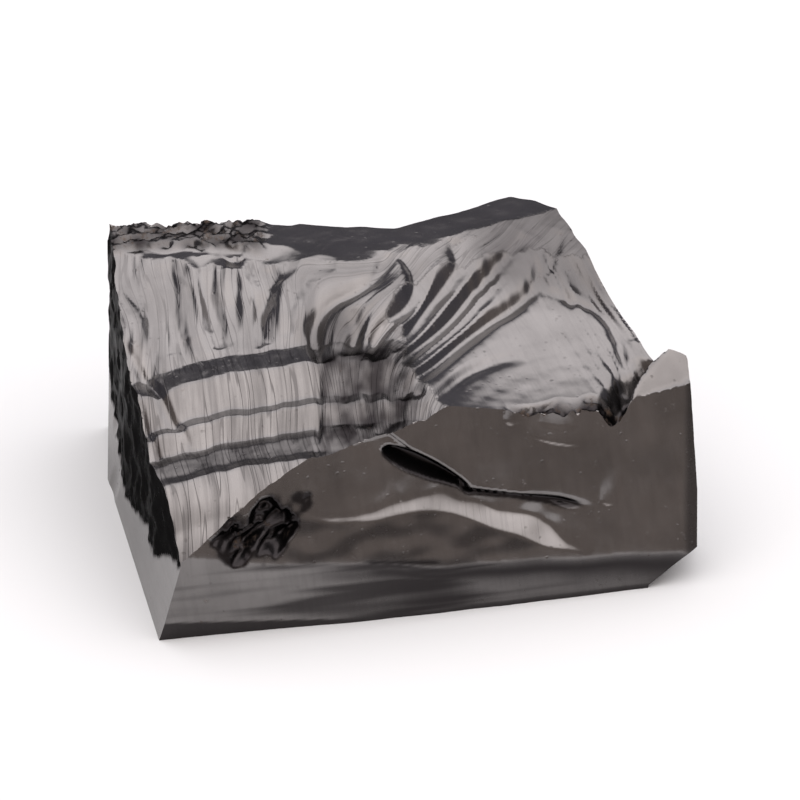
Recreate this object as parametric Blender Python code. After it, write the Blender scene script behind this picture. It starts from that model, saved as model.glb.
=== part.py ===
"""A rough chip of elite shungite: one solid piece of glassy mineral carbon, as it breaks from the vein.

The chip starts as a block of its full size and is cleaved, one fracture after another. Each fracture is a sheet
that passes through a stated place, faces a stated way, and may be hollowed like the inside of a shell.
Metres, +Z up, the front faces -Y, and the origin is on the table under the middle of the chip.
"""

import math

import bmesh
import bpy
from mathutils import Matrix, Vector

# The block that the chip is cleaved from: its width (X), depth (Y) and height (Z).
WIDTH, DEPTH, HEIGHT = 0.0246, 0.0194, 0.0109

# A place is a share of the width, depth and height, from the front left corner of the block's underside.
# A bearing runs from the front (0) round by the right (90) to the back (180), and a rise is the angle of the
# outward side above the horizon, both in degrees. A hollowed fracture is a dish of that radius and depth, in
# metres, round its place, which goes on rising past its radius. A flat one has neither.
FRACTURES = {
    # name: (place, bearing, rise, radius, depth)
    "front_skirt": ((0.108, 0.000, 0.000), 12.1, 0.0, 0.0, 0.0),
    "front_cheek": ((0.501, 0.107, 0.211), 14.8, 15.0, 0.0, 0.0),
    "left_front": ((0.0984, 0.000, 0.000), 281.0, 3.0, 0.0, 0.0),
    "left_back": ((0.008, 0.792, 0.000), 276.4, 4.0, 0.0, 0.0),
    "left_bevel": ((0.130, 0.006, 0.333), 290.0, 8.0, 0.0, 0.0),
    "top_chin": ((0.133, 0.006, 0.319), 344.0, 46.0, 0.0, 0.0),
    "top_slope": ((0.281, 0.086, 0.539), 331.7, 68.0, 0.0, 0.0),
    "top_ledge": ((0.407, 0.660, 1.000), 180.0, 87.0, 0.0, 0.0),
    "top_plateau": ((0.963, 0.374, 0.865), 50.0, 82.7, 0.0, 0.0),
    "top_scoop": ((0.740, 0.495, 0.870), 24.0, 76.0, 0.0075, 0.0011),
    "right_brow": ((0.945, 0.315, 0.702), 20.0, 42.0, 0.0, 0.0),
    "right_cheek": ((0.998, 0.309, 0.460), 96.0, 2.0, 0.0, 0.0),
    "right_side": ((0.929, 0.469, 0.768), 113.6, 4.0, 0.0, 0.0),
    "right_foot": ((0.910, 0.220, 0.000), 84.0, -53.0, 0.0, 0.0),
    "back_side": ((0.400, 0.841, 0.950), 174.0, 3.0, 0.0, 0.0),
    "back_step": ((0.690, 1.002, 0.500), 161.0, 6.0, 0.0, 0.0),
    "back_corner": ((0.800, 0.928, 0.500), 140.0, 8.0, 0.0, 0.0),
    "back_heel": ((0.550, 0.825, 0.000), 168.0, -40.0, 0.0090, 0.0008),
}

# A fracture may run round a splinter and leave it standing: a block square in plan, of that side in metres,
# which faces that bearing.
KNOB = ((0.976, 0.290, 0.800), 75.0, 0.0032)
BACK_BLOCK = ((0.772, 0.557, 0.500), 211.0, 0.0160)
SPLINTERS = {"top_scoop": KNOB, "right_side": KNOB, "back_side": BACK_BLOCK}

CUT_CELLS = 10  # cells along each side of a hollowed sheet
SHEET_REACH = 1.5  # half the side of a sheet, in radii of a hollow, or in widths of the chip where it is flat


def place(shares):
    """A point of the chip, from its shares of the width, depth and height."""
    across, back, up = shares
    return Vector(((across - 0.5) * WIDTH, (back - 0.5) * DEPTH, up * HEIGHT))


def facing(bearing, rise):
    """The unit vector of a bearing and a rise."""
    turn, lift = math.radians(bearing), math.radians(rise)
    return Vector((math.sin(turn) * math.cos(lift), -math.cos(turn) * math.cos(lift), math.sin(lift)))


def add_object(name, mesh_builder):
    """A new object from a bmesh, in the scene."""
    mesh = bpy.data.meshes.new(name)
    mesh_builder.to_mesh(mesh)
    mesh_builder.free()
    made = bpy.data.objects.new(name, mesh)
    bpy.context.scene.collection.objects.link(made)
    return made


def add_guide(name, mesh_builder):
    """A new object that only cuts, and isn't part of the chip."""
    guide = add_object(name, mesh_builder)
    guide.hide_render = True
    guide.display_type = "WIRE"
    return guide


def waste_block(name, at, normal, radius, depth):
    """The waste outside one fracture: a closed block whose inner side is the fracture sheet."""
    cells = CUT_CELLS if depth else 1
    half = SHEET_REACH * (radius if depth else WIDTH)
    shell = bmesh.new()
    bmesh.ops.create_grid(shell, x_segments=cells, y_segments=cells, size=half)
    if depth:
        for corner in shell.verts:
            corner.co.z = depth * (corner.co.xy.length_squared / radius**2 - 1.0)
    bmesh.ops.reverse_faces(shell, faces=shell.faces)
    outer = bmesh.ops.extrude_face_region(shell, geom=shell.faces[:])
    for item in outer["geom"]:
        if isinstance(item, bmesh.types.BMVert):
            item.co.z = WIDTH
    bmesh.ops.recalc_face_normals(shell, faces=shell.faces)
    block = add_guide(name, shell)
    block.location = place(at)
    block.rotation_mode = "QUATERNION"
    block.rotation_quaternion = normal.to_track_quat("Z", "Y")
    return block


def splinter_block(name, at, bearing, side):
    """The upright block that a fracture leaves standing, taller than the chip."""
    column = bmesh.new()
    bmesh.ops.create_cube(column, size=1.0)
    bmesh.ops.transform(column, matrix=Matrix.Diagonal((side, side, 4 * HEIGHT, 1.0)), verts=column.verts)
    block = add_guide(name, column)
    block.location = place(at)
    block.rotation_euler.z = math.radians(bearing)
    return block


def take_away(body, name, waste):
    """Cuts one block out of another."""
    cut = body.modifiers.new(name, "BOOLEAN")
    cut.operation = "DIFFERENCE"
    cut.solver = "EXACT"
    cut.object = waste


def cleave(chip, name, at, normal, radius, depth):
    """Takes the waste outside one fracture off the chip, round its splinter if it has one."""
    waste = waste_block("waste_" + name, at, normal, radius, depth)
    if name in SPLINTERS:
        take_away(waste, "splinter", splinter_block("splinter_" + name, *SPLINTERS[name]))
    take_away(chip, name, waste)


def shungite_material():
    """Near-black glassy carbon with a silvery lustre."""
    material = bpy.data.materials.new("elite_shungite")
    material.use_nodes = True
    shader = material.node_tree.nodes["Principled BSDF"]
    shader.inputs["Base Color"].default_value = (0.17, 0.165, 0.165, 1.0)
    shader.inputs["Metallic"].default_value = 0.8
    shader.inputs["Roughness"].default_value = 0.22
    return material


def shungite_chip():
    """The chip itself, one closed body resting on its flat underside."""
    block = bmesh.new()
    bmesh.ops.create_cube(block, size=1.0)
    bmesh.ops.transform(
        block,
        matrix=Matrix.Translation((0, 0, HEIGHT / 2)) @ Matrix.Diagonal((WIDTH, DEPTH, HEIGHT, 1.0)),
        verts=block.verts,
    )
    chip = add_object("shungite_chip", block)
    chip.data.materials.append(shungite_material())
    for name, (at, bearing, rise, radius, depth) in FRACTURES.items():
        cleave(chip, name, at, facing(bearing, rise), radius, depth)
    return chip


def clear_scene():
    """Removes whatever the scene holds."""
    for old in list(bpy.data.objects):
        bpy.data.objects.remove(old)


def main():
    """Makes the model."""
    clear_scene()
    shungite_chip()


main()
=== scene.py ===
"""The finish of a rough chip of elite shungite: its fracture surfaces, its silvery black lustre, and a
plain stage.

The chip is a block cleaved by six sheets, one for each side. Each sheet is a height worked out over a grid,
from the planes of the solid's fractures and from the relief that such a break leaves: terraces, hackles,
grooves, ripples, a scoop, notches and nicks. Lengths in the sheets are millimetres from the block's front
left corner on the table.

Four kinds of number recur above the sheets. A span is a low and a high value for ease, and a third value
makes it a low, a high and a soft length for window. Bumps are a height, their length along the first
coordinate and along the second, and a seed. Rough bumps end with a number of octaves, and hairs with a
width. Spots are a count, two corners, the spans of their radius and depth, and a seed.
"""

import functools
import math

import bmesh
import bpy
import numpy as np
from bpy.props import FloatProperty, FloatVectorProperty, PointerProperty
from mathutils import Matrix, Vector


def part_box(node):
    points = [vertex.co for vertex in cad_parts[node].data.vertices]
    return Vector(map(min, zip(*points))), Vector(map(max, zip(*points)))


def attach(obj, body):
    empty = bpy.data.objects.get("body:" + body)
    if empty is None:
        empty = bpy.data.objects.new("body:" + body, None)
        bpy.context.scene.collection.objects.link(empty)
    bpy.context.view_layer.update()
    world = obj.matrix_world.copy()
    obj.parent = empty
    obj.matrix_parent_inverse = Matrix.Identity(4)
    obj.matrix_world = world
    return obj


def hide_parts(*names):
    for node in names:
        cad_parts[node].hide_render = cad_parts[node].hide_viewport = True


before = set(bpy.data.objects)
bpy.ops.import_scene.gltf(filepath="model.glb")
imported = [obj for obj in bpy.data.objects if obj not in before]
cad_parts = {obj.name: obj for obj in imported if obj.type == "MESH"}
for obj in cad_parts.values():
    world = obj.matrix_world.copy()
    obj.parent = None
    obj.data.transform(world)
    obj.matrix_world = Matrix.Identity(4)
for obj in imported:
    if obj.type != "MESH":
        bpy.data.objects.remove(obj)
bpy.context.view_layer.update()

bl_info = {
    "name": "Shungite chip",
    "version": (1, 0, 0),
    "blender": (4, 5, 0),
    "location": "3D View > Sidebar > Shungite",
    "description": "Cleaves a rough chip of elite shungite out of six fracture sheets, on a pale stage",
    "category": "Add Mesh",
}

NODE = "shungite_chip"
MM = 0.001

# The block that the chip is cleaved from, and its front left corner on the table, in millimetres.
BLOCK = np.array((24.6, 19.4, 10.9))
CORNER = np.array((-BLOCK[0] / 2, -BLOCK[1] / 2, 0.0))

# Planes of the chip's fractures: a place as shares of the block, the bearing that the outward side faces (0
# the front, 90 the right, 180 the back) and its rise above the horizon, in degrees.
FRACTURES = {
    "front_skirt": ((0.108, 0.000, 0.000), 12.1, 0.0),
    "front_cheek": ((0.501, 0.107, 0.211), 14.8, 20.0),
    "left_foot": ((0.0984, 0.000, 0.000), 280.3, 15.0),
    "left_wall": ((0.1359, 0.000, 0.000), 284.0, 0.0),
    "left_back": ((0.008, 0.792, 0.000), 276.4, 0.5),
    "top_chin": ((0.133, 0.006, 0.319), 344.0, 46.0),
    "top_slope": ((0.281, 0.086, 0.539), 331.7, 68.0),
    "top_ledge": ((0.434, 0.678, 0.972), 255.0, 84.3),
    "top_back": ((0.634, 0.815, 0.971), 190.0, 88.0),
    "top_rise": ((0.620, 0.850, 0.985), 32.0, 78.0),
    "top_plateau": ((0.963, 0.374, 0.865), 50.0, 82.7),
    "top_scoop": ((0.740, 0.495, 0.870), 24.0, 76.0),
    "knob_brow": ((0.939, 0.348, 0.684), 17.0, 42.0),
    "right_cheek": ((0.998, 0.309, 0.460), 96.0, 2.0),
    "right_side": ((0.929, 0.469, 0.768), 113.6, 4.0),
    "right_foot": ((0.910, 0.220, 0.000), 84.0, -53.0),
    "back_side": ((0.400, 0.841, 0.950), 174.0, 3.0),
    "back_wall": ((0.606, 0.912, 0.950), 211.0, 0.0),
    "back_step": ((0.690, 1.002, 0.500), 161.0, 6.0),
    "back_corner": ((0.800, 0.928, 0.500), 140.0, 8.0),
    "back_heel": ((0.550, 0.825, 0.000), 168.0, -40.0),
}

# A groove's narrow core takes this share of its depth, and its flank is wider than the core by this much.
CORE_SHARE, FLANK = 0.75, 2.6


# ---------------------------------------------------------------- shared mathematics


def ease(low, high, value):
    """0 below low, 1 above high, and three t squared less two t cubed between them."""
    t = np.clip((value - low) / (high - low), 0.0, 1.0)
    return t * t * (3.0 - 2.0 * t)


def window(low, high, soft, value):
    """1 between low and high, falling to 0 over the soft length outside them."""
    return ease(low - soft, low, value) * (1.0 - ease(high, high + soft, value))


def ridge(distance, width):
    """A bell of that half width over a distance: e to the power of minus the ratio squared."""
    return np.exp(-((distance / width) ** 2))


def highest(*values):
    """The highest of several arrays or numbers at each point."""
    return functools.reduce(np.maximum, values)


# Large odd numbers and shifts that scramble the bits of a corner's numbers, the lowest 32 bits, how much the
# noise is raised to fill -1 to 1, and how far apart the seeds of two octaves are.
COLUMN_PRIME, ROW_PRIME, SEED_FACTOR, FOLD_PRIME = 374761393, 668265263, 974634777, 1274126177
FIRST_FOLD, SECOND_FOLD, LOW_BITS = 13, 16, 0xFFFFFFFF
NOISE_GAIN, OCTAVE_SEEDS = 1.5, 31


def scrambled(column, row, seed):
    """A number from 0 to 1 for each whole-numbered corner, from multiplied and folded bits."""
    bits = column.astype(np.int64) * COLUMN_PRIME + row.astype(np.int64) * ROW_PRIME + seed * SEED_FACTOR
    bits = bits & LOW_BITS
    bits = ((bits ^ (bits >> FIRST_FOLD)) * FOLD_PRIME) & LOW_BITS
    return ((bits ^ (bits >> SECOND_FOLD)) & LOW_BITS) / (LOW_BITS + 1.0)


def gradient_noise(u, v, seed):
    """Smooth noise from about -1 to 1. A slope of its own direction stands at each whole-numbered corner,
    and a point sums the four slopes round it, weighted by six t to the fifth less fifteen t to the fourth
    plus ten t cubed."""
    column, row = np.floor(u), np.floor(v)
    across, up = u - column, v - row

    def slope_from(right, above):
        turn = 2.0 * np.pi * scrambled(column + right, row + above, seed)
        return np.cos(turn) * (across - right) + np.sin(turn) * (up - above)

    weight_u = across**3 * (across * (6.0 * across - 15.0) + 10.0)
    weight_v = up**3 * (up * (6.0 * up - 15.0) + 10.0)
    lower = slope_from(0, 0) * (1.0 - weight_u) + slope_from(1, 0) * weight_u
    upper = slope_from(0, 1) * (1.0 - weight_u) + slope_from(1, 1) * weight_u
    return NOISE_GAIN * (lower * (1.0 - weight_v) + upper * weight_v)


def bumps(a, b, relief):
    """Smooth bumps over two coordinates: a height times gradient noise."""
    height, length_a, length_b, seed = relief
    return height * gradient_noise(a / length_a, b / length_b, seed)


def ribs(a, b, relief):
    """Round-backed ribs with sharp valleys between them: the size of the bumps."""
    return np.abs(bumps(a, b, relief))


def rough(a, b, relief):
    """A height times octaves of gradient noise, each twice as fine as the last and half as strong."""
    height, length_a, length_b, seed, octaves = relief
    u, v = a / length_a, b / length_b
    return height * sum(
        0.5**k * gradient_noise(u * 2.0**k, v * 2.0**k, seed + OCTAVE_SEEDS * k) for k in range(octaves))


def hairs(a, b, relief):
    """Thin lines where a noise passes through 0: a height times a bell of that width over the noise."""
    height, length_a, length_b, seed, width = relief
    return height * ridge(gradient_noise(a / length_a, b / length_b, seed), width)


def patches(a, b, strength, span, relief):
    """Soft patches: a strength where bumps pass a span, and 0 below it."""
    return strength * ease(*span, bumps(a, b, relief))


def facing(bearing, rise):
    """The unit vector of a bearing and a rise."""
    turn, lift = math.radians(bearing), math.radians(rise)
    return np.array((math.sin(turn) * math.cos(lift), -math.cos(turn) * math.cos(lift), math.sin(lift)))


def on_plane(name, axis, first, second):
    """The coordinate along an axis at which a fracture plane passes, from the two other coordinates: the
    plane's normal times the way from its place is 0, solved for that axis."""
    shares, bearing, rise = FRACTURES[name]
    place, normal = np.array(shares) * BLOCK, facing(bearing, rise)
    one, two = (k for k in range(3) if k != axis)
    slant = normal[one] * (first - place[one]) + normal[two] * (second - place[two])
    return place[axis] - slant / normal[axis]


def soft_min(a, b, blend):
    """The lower of two heights, rounded where they meet: their mean less half the root of their gap squared
    plus the blend squared."""
    return 0.5 * (a + b - np.sqrt((a - b) ** 2 + blend**2))


def nicks(a, b, spots):
    """The depth of shell-shaped nicks: for each spot its depth times one less the distance over its radius
    squared, and never under 0, taking the deepest."""
    deepest = np.zeros_like(a)
    for at_a, at_b, radius, depth in spots:
        reach = ((a - at_a) ** 2 + (b - at_b) ** 2) / radius**2
        deepest = np.maximum(deepest, depth * (1.0 - reach))
    return deepest


def scattered(count, low, high, radii, depths, seed):
    """Spots for nicks, scattered evenly between two corners."""
    rng = np.random.default_rng(seed)
    return [
        (rng.uniform(low[0], high[0]), rng.uniform(low[1], high[1]),
         rng.uniform(*radii), rng.uniform(*depths))
        for _ in range(count)
    ]


def fan(a, b, middle):
    """The turn and the distance round the middle of a fan."""
    return np.arctan2(b - middle[1], a - middle[0]), np.hypot(a - middle[0], b - middle[1])


def oval(a, b, middle, radii):
    """The distance from the middle of an oval, as a share of its radii."""
    return np.hypot((a - middle[0]) / radii[0], (b - middle[1]) / radii[1])


def smooth_path(corners, steps=6):
    """Points along a curve through the corners: between two of them, the cubic that leaves each corner
    along the way from the corner before it to the corner after it."""
    held = np.array((corners[0], *corners, corners[-1]), dtype=float)
    before, start, end, after = held[:-3, None], held[1:-2, None], held[2:-1, None], held[3:, None]
    t = np.linspace(0.0, 1.0, steps, endpoint=False)[None, :, None]
    path = 0.5 * (2.0 * start + (end - before) * t + (2.0 * before - 5.0 * start + 4.0 * end - after) * t**2
                  + (3.0 * start - before - 3.0 * end + after) * t**3)
    return np.concatenate((path.reshape(-1, 2), held[-1:]))


def beside(a, b, path):
    """The signed distance to a path, positive on its right, and the share of its length where it is
    nearest."""
    lengths = np.hypot(*np.diff(path, axis=0).T)
    nearest = np.full(a.shape, np.inf)
    signed, share = np.zeros(a.shape), np.zeros(a.shape)
    walked = 0.0
    for (start_a, start_b), (end_a, end_b), length in zip(path[:-1], path[1:], lengths):
        way_a, way_b = (end_a - start_a) / length, (end_b - start_b) / length
        along = np.clip((a - start_a) * way_a + (b - start_b) * way_b, 0.0, length)
        off_a, off_b = a - start_a - along * way_a, b - start_b - along * way_b
        distance = np.hypot(off_a, off_b)
        closer = distance < nearest
        nearest = np.where(closer, distance, nearest)
        signed = np.where(closer, distance * np.sign(off_a * way_b - off_b * way_a), signed)
        share = np.where(closer, (walked + along) / lengths.sum(), share)
        walked += length
    return signed, share


def carved(a, b, lines):
    """The depth of grooves along lines: for each its depth times a bell over the distance, with a width of
    its own on the left and on the right, mixed with a wider bell, and fading towards the ends. Where lines
    meet, the deepest counts."""
    deepest = np.zeros(a.shape)
    for corners, left, right, depth in lines:
        signed, share = beside(a, b, smooth_path(corners))
        width = np.where(signed > 0.0, right, left)
        bell = CORE_SHARE * ridge(signed, width) + (1.0 - CORE_SHARE) * ridge(signed, FLANK * width)
        deepest = np.maximum(deepest, depth * bell * np.sin(np.pi * np.clip(share, 0.0, 1.0)) ** 0.5)
    return deepest


# ---------------------------------------------------------------- the top's terraces and hackles

SCOOP_RADIUS, SCOOP_DEPTH = 7.5, 1.1

# Heights that the terraces stand above the slope, by distance from the front edge: treads where it falls.
# Their edges bow back by a parabola round a middle. A crack cuts them, and they are lower past it and past
# their end.
TERRACE_AT = (0.0, 1.20, 2.80, 3.40, 4.40, 5.00, 5.75, 6.45, 7.75, 9.30, 10.8, 30.0)
TERRACE_HEIGHT = (0.0, 0.0, 0.40, 0.14, -0.13, -0.39, 0.06, -0.25, 0.28, -0.25, 0.0, 0.0)
TERRACE_START, TERRACE_MIDDLE, TERRACE_BOW = 0.20, 6.8, 0.014
TERRACE_WOBBLE = (0.16, 3.1, 4.0, 5)
TERRACE_FRAYING = (0.09, 0.8, 3.0, 6)
TERRACE_END = (12.0, 14.2)
CRACK_AT = 8.95
CRACK_SIDES = (CRACK_AT - 0.05, CRACK_AT + 0.15)
CRACK_REACH = (2.6, 9.0, 0.5)
CRACK_DEPTH, CRACK_WIDTH, CRACK_SWAY, CRACK_BENDS = 0.10, 0.10, 0.08, 1.3
LOST_AT_CRACK, LOST_AT_END = 0.40, 0.60

# Hackles lean left, and by a further lean to the right past a slanting line. They are faint on the terraces.
LEFT_LEAN, FURTHER_LEAN, HACKLE_ROOT = -0.12, 0.87, 9.0
LEAN_TURN, LEAN_SLANT, LEAN_LEVEL = (8.0, 13.0), 0.3, 10.0
HACKLE_WOBBLE = (0.35, 3.0, 4.0, 11)
HACKLE_KINKS = (0.15, 1.2, 2.5, 26)
HACKLE_START, HACKLE_END, SWELL_START = (9.0, 9.6), (15.5, 18.0), (9.0, 10.5)
FAINT_HACKLES, CRACK_HACKLES, CRACK_HACKLE_START = 0.28, 0.12, (8.9, 9.4)
FLUTES = (0.17, 0.95, 6.0, 21)
FINE_FLUTES = (0.10, 0.42, 4.0, 28)
SWELLS = (0.32, 1.3, 4.5, 22)
HAIR_LINES = (0.03, 0.7, 5.0, 23, 0.12)
FINE_HAIR_LINES = (0.02, 0.35, 4.0, 24, 0.2)
HACKLE_SINK = 0.08

# Grooves between the hackles: their places (right, back), their widths on the left and on the right, and
# their depth.
HACKLE_LINES = (
    (((0.70, 10.8), (1.75, 9.1), (2.64, 7.15), (3.64, 5.22)), 0.16, 0.26, 0.30),
    (((1.39, 7.85), (1.93, 5.97), (2.65, 4.32)), 0.14, 0.22, 0.20),
    (((2.75, 9.9), (2.60, 11.8), (2.30, 14.6)), 0.28, 0.45, 0.16),
    (((3.71, 10.6), (3.62, 12.5), (3.45, 13.4)), 0.22, 0.30, 0.18),
    (((4.65, 9.9), (4.43, 11.9), (4.07, 13.3), (3.98, 14.8)), 0.30, 0.42, 0.32),
    (((5.60, 10.6), (5.35, 12.4), (5.50, 14.1), (5.20, 15.0)), 0.28, 0.34, 0.22),
    (((6.57, 9.7), (6.39, 11.2), (6.93, 12.9), (6.80, 13.8)), 0.28, 0.45, 0.36),
    (((7.70, 9.9), (7.75, 11.3), (8.30, 13.0)), 0.24, 0.38, 0.20),
    (((8.98, 7.9), (8.71, 9.9), (8.98, 10.9), (9.61, 11.5), (10.68, 11.9), (11.39, 12.6), (11.75, 13.9)),
     0.30, 0.50, 0.45),
    (((10.32, 8.2), (10.41, 9.5), (10.32, 10.8)), 0.32, 0.42, 0.42),
    (((11.39, 7.6), (11.21, 8.9), (11.57, 9.8), (12.46, 11.0), (12.91, 12.1), (12.82, 13.1), (12.30, 13.9)),
     0.30, 0.54, 0.56),
    (((12.11, 7.9), (12.82, 9.9), (13.54, 11.6), (14.25, 12.9), (14.70, 13.9), (14.50, 15.2)),
     0.30, 0.52, 0.56),
    (((11.75, 6.3), (12.82, 8.6), (14.25, 10.9), (15.32, 12.8), (16.39, 14.3), (17.46, 15.9)),
     0.26, 0.50, 0.62),
    (((12.35, 6.6), (13.45, 8.6), (14.90, 10.9), (16.00, 12.7), (17.00, 14.0)), 0.24, 0.36, 0.36),
    (((12.11, 5.4), (13.36, 7.4), (14.61, 9.5), (15.86, 11.1), (16.88, 12.1), (17.66, 13.0), (18.05, 13.9),
      (17.97, 14.6)), 0.24, 0.46, 0.52),
    (((13.20, 4.1), (14.07, 5.9), (14.96, 7.5), (16.20, 8.7), (17.40, 9.3)), 0.26, 0.42, 0.26),
    (((17.97, 13.3), (19.06, 12.8), (20.40, 12.3), (21.20, 11.1), (21.50, 9.5), (21.40, 7.9), (20.80, 6.8)),
     0.26, 0.30, 0.28),
    (((19.00, 16.3), (18.60, 14.6), (18.10, 13.4)), 0.25, 0.36, 0.26),
    (((19.20, 15.0), (20.00, 13.6), (21.10, 11.8), (22.00, 10.3)), 0.22, 0.36, 0.28),
    (((20.50, 13.9), (21.40, 12.2), (22.40, 10.4)), 0.20, 0.28, 0.22),
    (((9.80, 4.9), (10.05, 6.5), (9.70, 8.2)), 0.24, 0.30, 0.10),
    (((10.70, 4.6), (11.15, 6.0), (10.90, 7.2)), 0.24, 0.34, 0.14),
    (((11.50, 3.9), (12.10, 5.2), (11.60, 6.6)), 0.26, 0.36, 0.18),
)


def terrace_distance(x, y):
    """Distance from the front along the terraces: a parabola bows their edges back in the middle, and two
    sets of bumps fray them."""
    wobble = bumps(x, y, TERRACE_WOBBLE) + bumps(x, y, TERRACE_FRAYING)
    return y - TERRACE_START + TERRACE_BOW * (x - TERRACE_MIDDLE) ** 2 + wobble


def hackle_line(x, y):
    """The number that stays the same along a hackle: the distance from the left, less a lean times the
    distance from the hackles' root. The lean grows past a slanting line."""
    lean = LEFT_LEAN + FURTHER_LEAN * ease(*LEAN_TURN, x + LEAN_SLANT * (y - LEAN_LEVEL))
    return x - lean * (y - HACKLE_ROOT) + bumps(x, y, HACKLE_WOBBLE)


def terraces(x, y):
    """Treads and risers across the slope, cut off at a crack and faint beyond it."""
    keep = 1.0 - LOST_AT_CRACK * ease(*CRACK_SIDES, x) - LOST_AT_END * ease(*TERRACE_END, x)
    steps = np.interp(terrace_distance(x, y), TERRACE_AT, TERRACE_HEIGHT)
    sway = CRACK_SWAY * np.sin(y * CRACK_BENDS)
    crack = ridge(x - CRACK_AT - sway, CRACK_WIDTH) * window(*CRACK_REACH, y)
    return keep * steps - CRACK_DEPTH * crack


def hackles(x, y):
    """Flutes, swells and hair lines along the hackle lines, full past the terraces and faint on them."""
    line = hackle_line(x, y) + bumps(x, y, HACKLE_KINKS)
    distance = terrace_distance(x, y)
    field = ease(*HACKLE_START, distance) + CRACK_HACKLES * ease(*CRACK_HACKLE_START, x) + FAINT_HACKLES
    field = np.minimum(field, 1.0) * (1.0 - ease(*HACKLE_END, x))
    flutes = ribs(line, y, FLUTES) + ribs(line, y, FINE_FLUTES)
    swells = bumps(line, y, SWELLS) * ease(*SWELL_START, distance)
    lines = hairs(line, y, HAIR_LINES) + hairs(line, y, FINE_HAIR_LINES)
    return field * (flutes + swells - lines - HACKLE_SINK)


# ---------------------------------------------------------------- the top sheet

# The right edge runs back and a little left, and lines run along it.
EDGE_SLANT = 0.43
EDGE_LINES = (0.06, 0.8, 9.0, 43, 0.20)
EDGE_LINES_START = (22.5, 25.0)
FINE_EDGE_LINES = (0.05, 0.45, 5.0, 44, 0.22)
FINE_EDGE_LINES_START = (23.2, 24.6)
RIPPLE_MIDDLE, RIPPLE_HEIGHT, RIPPLE_BENDS, RIPPLE_START = (21.0, 3.0), 0.006, 7.0, (3.0, 6.0)
RIPPLE_WOBBLE = (0.15, 2.0, 2.0, 41)

# The crushed stretch lies along the scoop's front edge, which passes through a place and falls back to the
# right.
FRONT_EDGE_AT, FRONT_EDGE_SLOPE = (12.32, 3.99), 0.2642
CRUSHED_REACH, CRUSHED_WIDTH, CRUSHED_SINK, CRUSHED_DEPTH = (17.3, 21.3, 0.8), (0.30, 0.75), 0.10, 0.32
CRUSHED_WOBBLE = (0.30, 0.8, 0.8, 58)
CRUSHED_CHIPS = (1.0, 0.9, 0.7, 59)
CRUSHED_CRUMBS = (0.6, 0.33, 0.30, 64)

# The rough rim at the back left.
RIM_REACH, RIM_BACK, RIM_BEND, RIM_SLANT = (-1.0, 6.2, 0.8), (15.3, 15.9), 3.5, 0.30
RIM_WOBBLE = (0.35, 1.1, 1.1, 54)
RIM_RISE = 0.30
RIM_RUBBLE = (0.38, 1.1, 0.9, 55, 4)

# The knob, and the open gap on its left.
KNOB_GAP = ((20.8, 5.6), (21.15, 6.5), (21.55, 7.4), (22.15, 8.1), (22.95, 8.9))
GAP_DEPTH, GAP_WIDTH, GAP_WIDENING, GAP_REACH = 1.05, 0.48, 0.10, 2.0
GAP_FRONT_SHARE, GAP_OPENING, GAP_END = 0.30, (0.0, 0.35), (0.93, 1.0)
GAP_WOBBLE = (0.10, 0.8, 0.8, 53, 3)
KNOB_WOBBLE = (0.10, 1.2, 1.2, 53, 2)
KNOB_LEFT, KNOB_SIDE, KNOB_BACK = 20.5, (0.38, 0.62), (8.45, 8.75)
BROW_LIFT, BROW_BLEND, KNOB_CORNER, KNOB_CORNER_DROP = 0.05, 0.25, (23.9, 24.8), 0.20
KNOB_SHOULDER, KNOB_SHOULDER_DROP, KNOB_RISE = (0.15, 0.80), 0.30, 2.0
KNOB_GRIT = (0.02, 1.6, 1.6, 53, 2)

# How the top's parts meet, and their finest relief.
SLOPE_BLEND, SLOPE_LIFT, RISE_HACKLES, RISE_BLEND, LEDGE_BLEND = 0.25, 0.06, 0.5, 0.10, 0.05
LEDGE_GRIT = (0.012, 1.2, 1.2, 51, 4)
PLATE_RIBS = (0.16, 0.75, 7.0, 60)
PLATE_BACK, PLATE_LEFT = (11.5, 13.5), (14.0, 17.0)
GROOVE_REACH = 0.3
TOP_NICKS = ((6.9, 13.9, 1.3, 0.22), (5.1, 14.6, 0.9, 0.15), (8.9, 13.2, 0.8, 0.10))
EDGE_NICKS = (16, (2.5, 0.5), (22.0, 6.0), (0.25, 0.7), (0.03, 0.12), 56)
TOP_GRIT = (0.008, 0.7, 0.7, 57, 3)


def along_edge(x, y):
    """The distances across and along the lines of the right edge."""
    return x + EDGE_SLANT * y, y - EDGE_SLANT * x


def scoop_floor(x, y):
    """The dish of the scoop: its plane, less its depth times one less the distance over its radius
    squared."""
    plane = on_plane("top_scoop", 2, x, y)
    shares, bearing, rise = FRACTURES["top_scoop"]
    place, normal = np.array(shares) * BLOCK, facing(bearing, rise)
    reach = (x - place[0]) ** 2 + (y - place[1]) ** 2 + (plane - place[2]) ** 2
    return plane + SCOOP_DEPTH * (reach / SCOOP_RADIUS**2 - 1.0) / normal[2]


def scoop_ripples(x, y):
    """Faint waves on the scoop round a point near the knob, and lines along the right edge."""
    ring = np.hypot(x - RIPPLE_MIDDLE[0], y - RIPPLE_MIDDLE[1]) + bumps(x, y, RIPPLE_WOBBLE)
    waves = RIPPLE_HEIGHT * np.sin(ring * RIPPLE_BENDS) * ease(*RIPPLE_START, ring)
    across, along = along_edge(x, y)
    lines = hairs(across, along, EDGE_LINES) * ease(*EDGE_LINES_START, across)
    lines = lines + hairs(across, along, FINE_EDGE_LINES) * ease(*FINE_EDGE_LINES_START, across)
    return waves - lines


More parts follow.
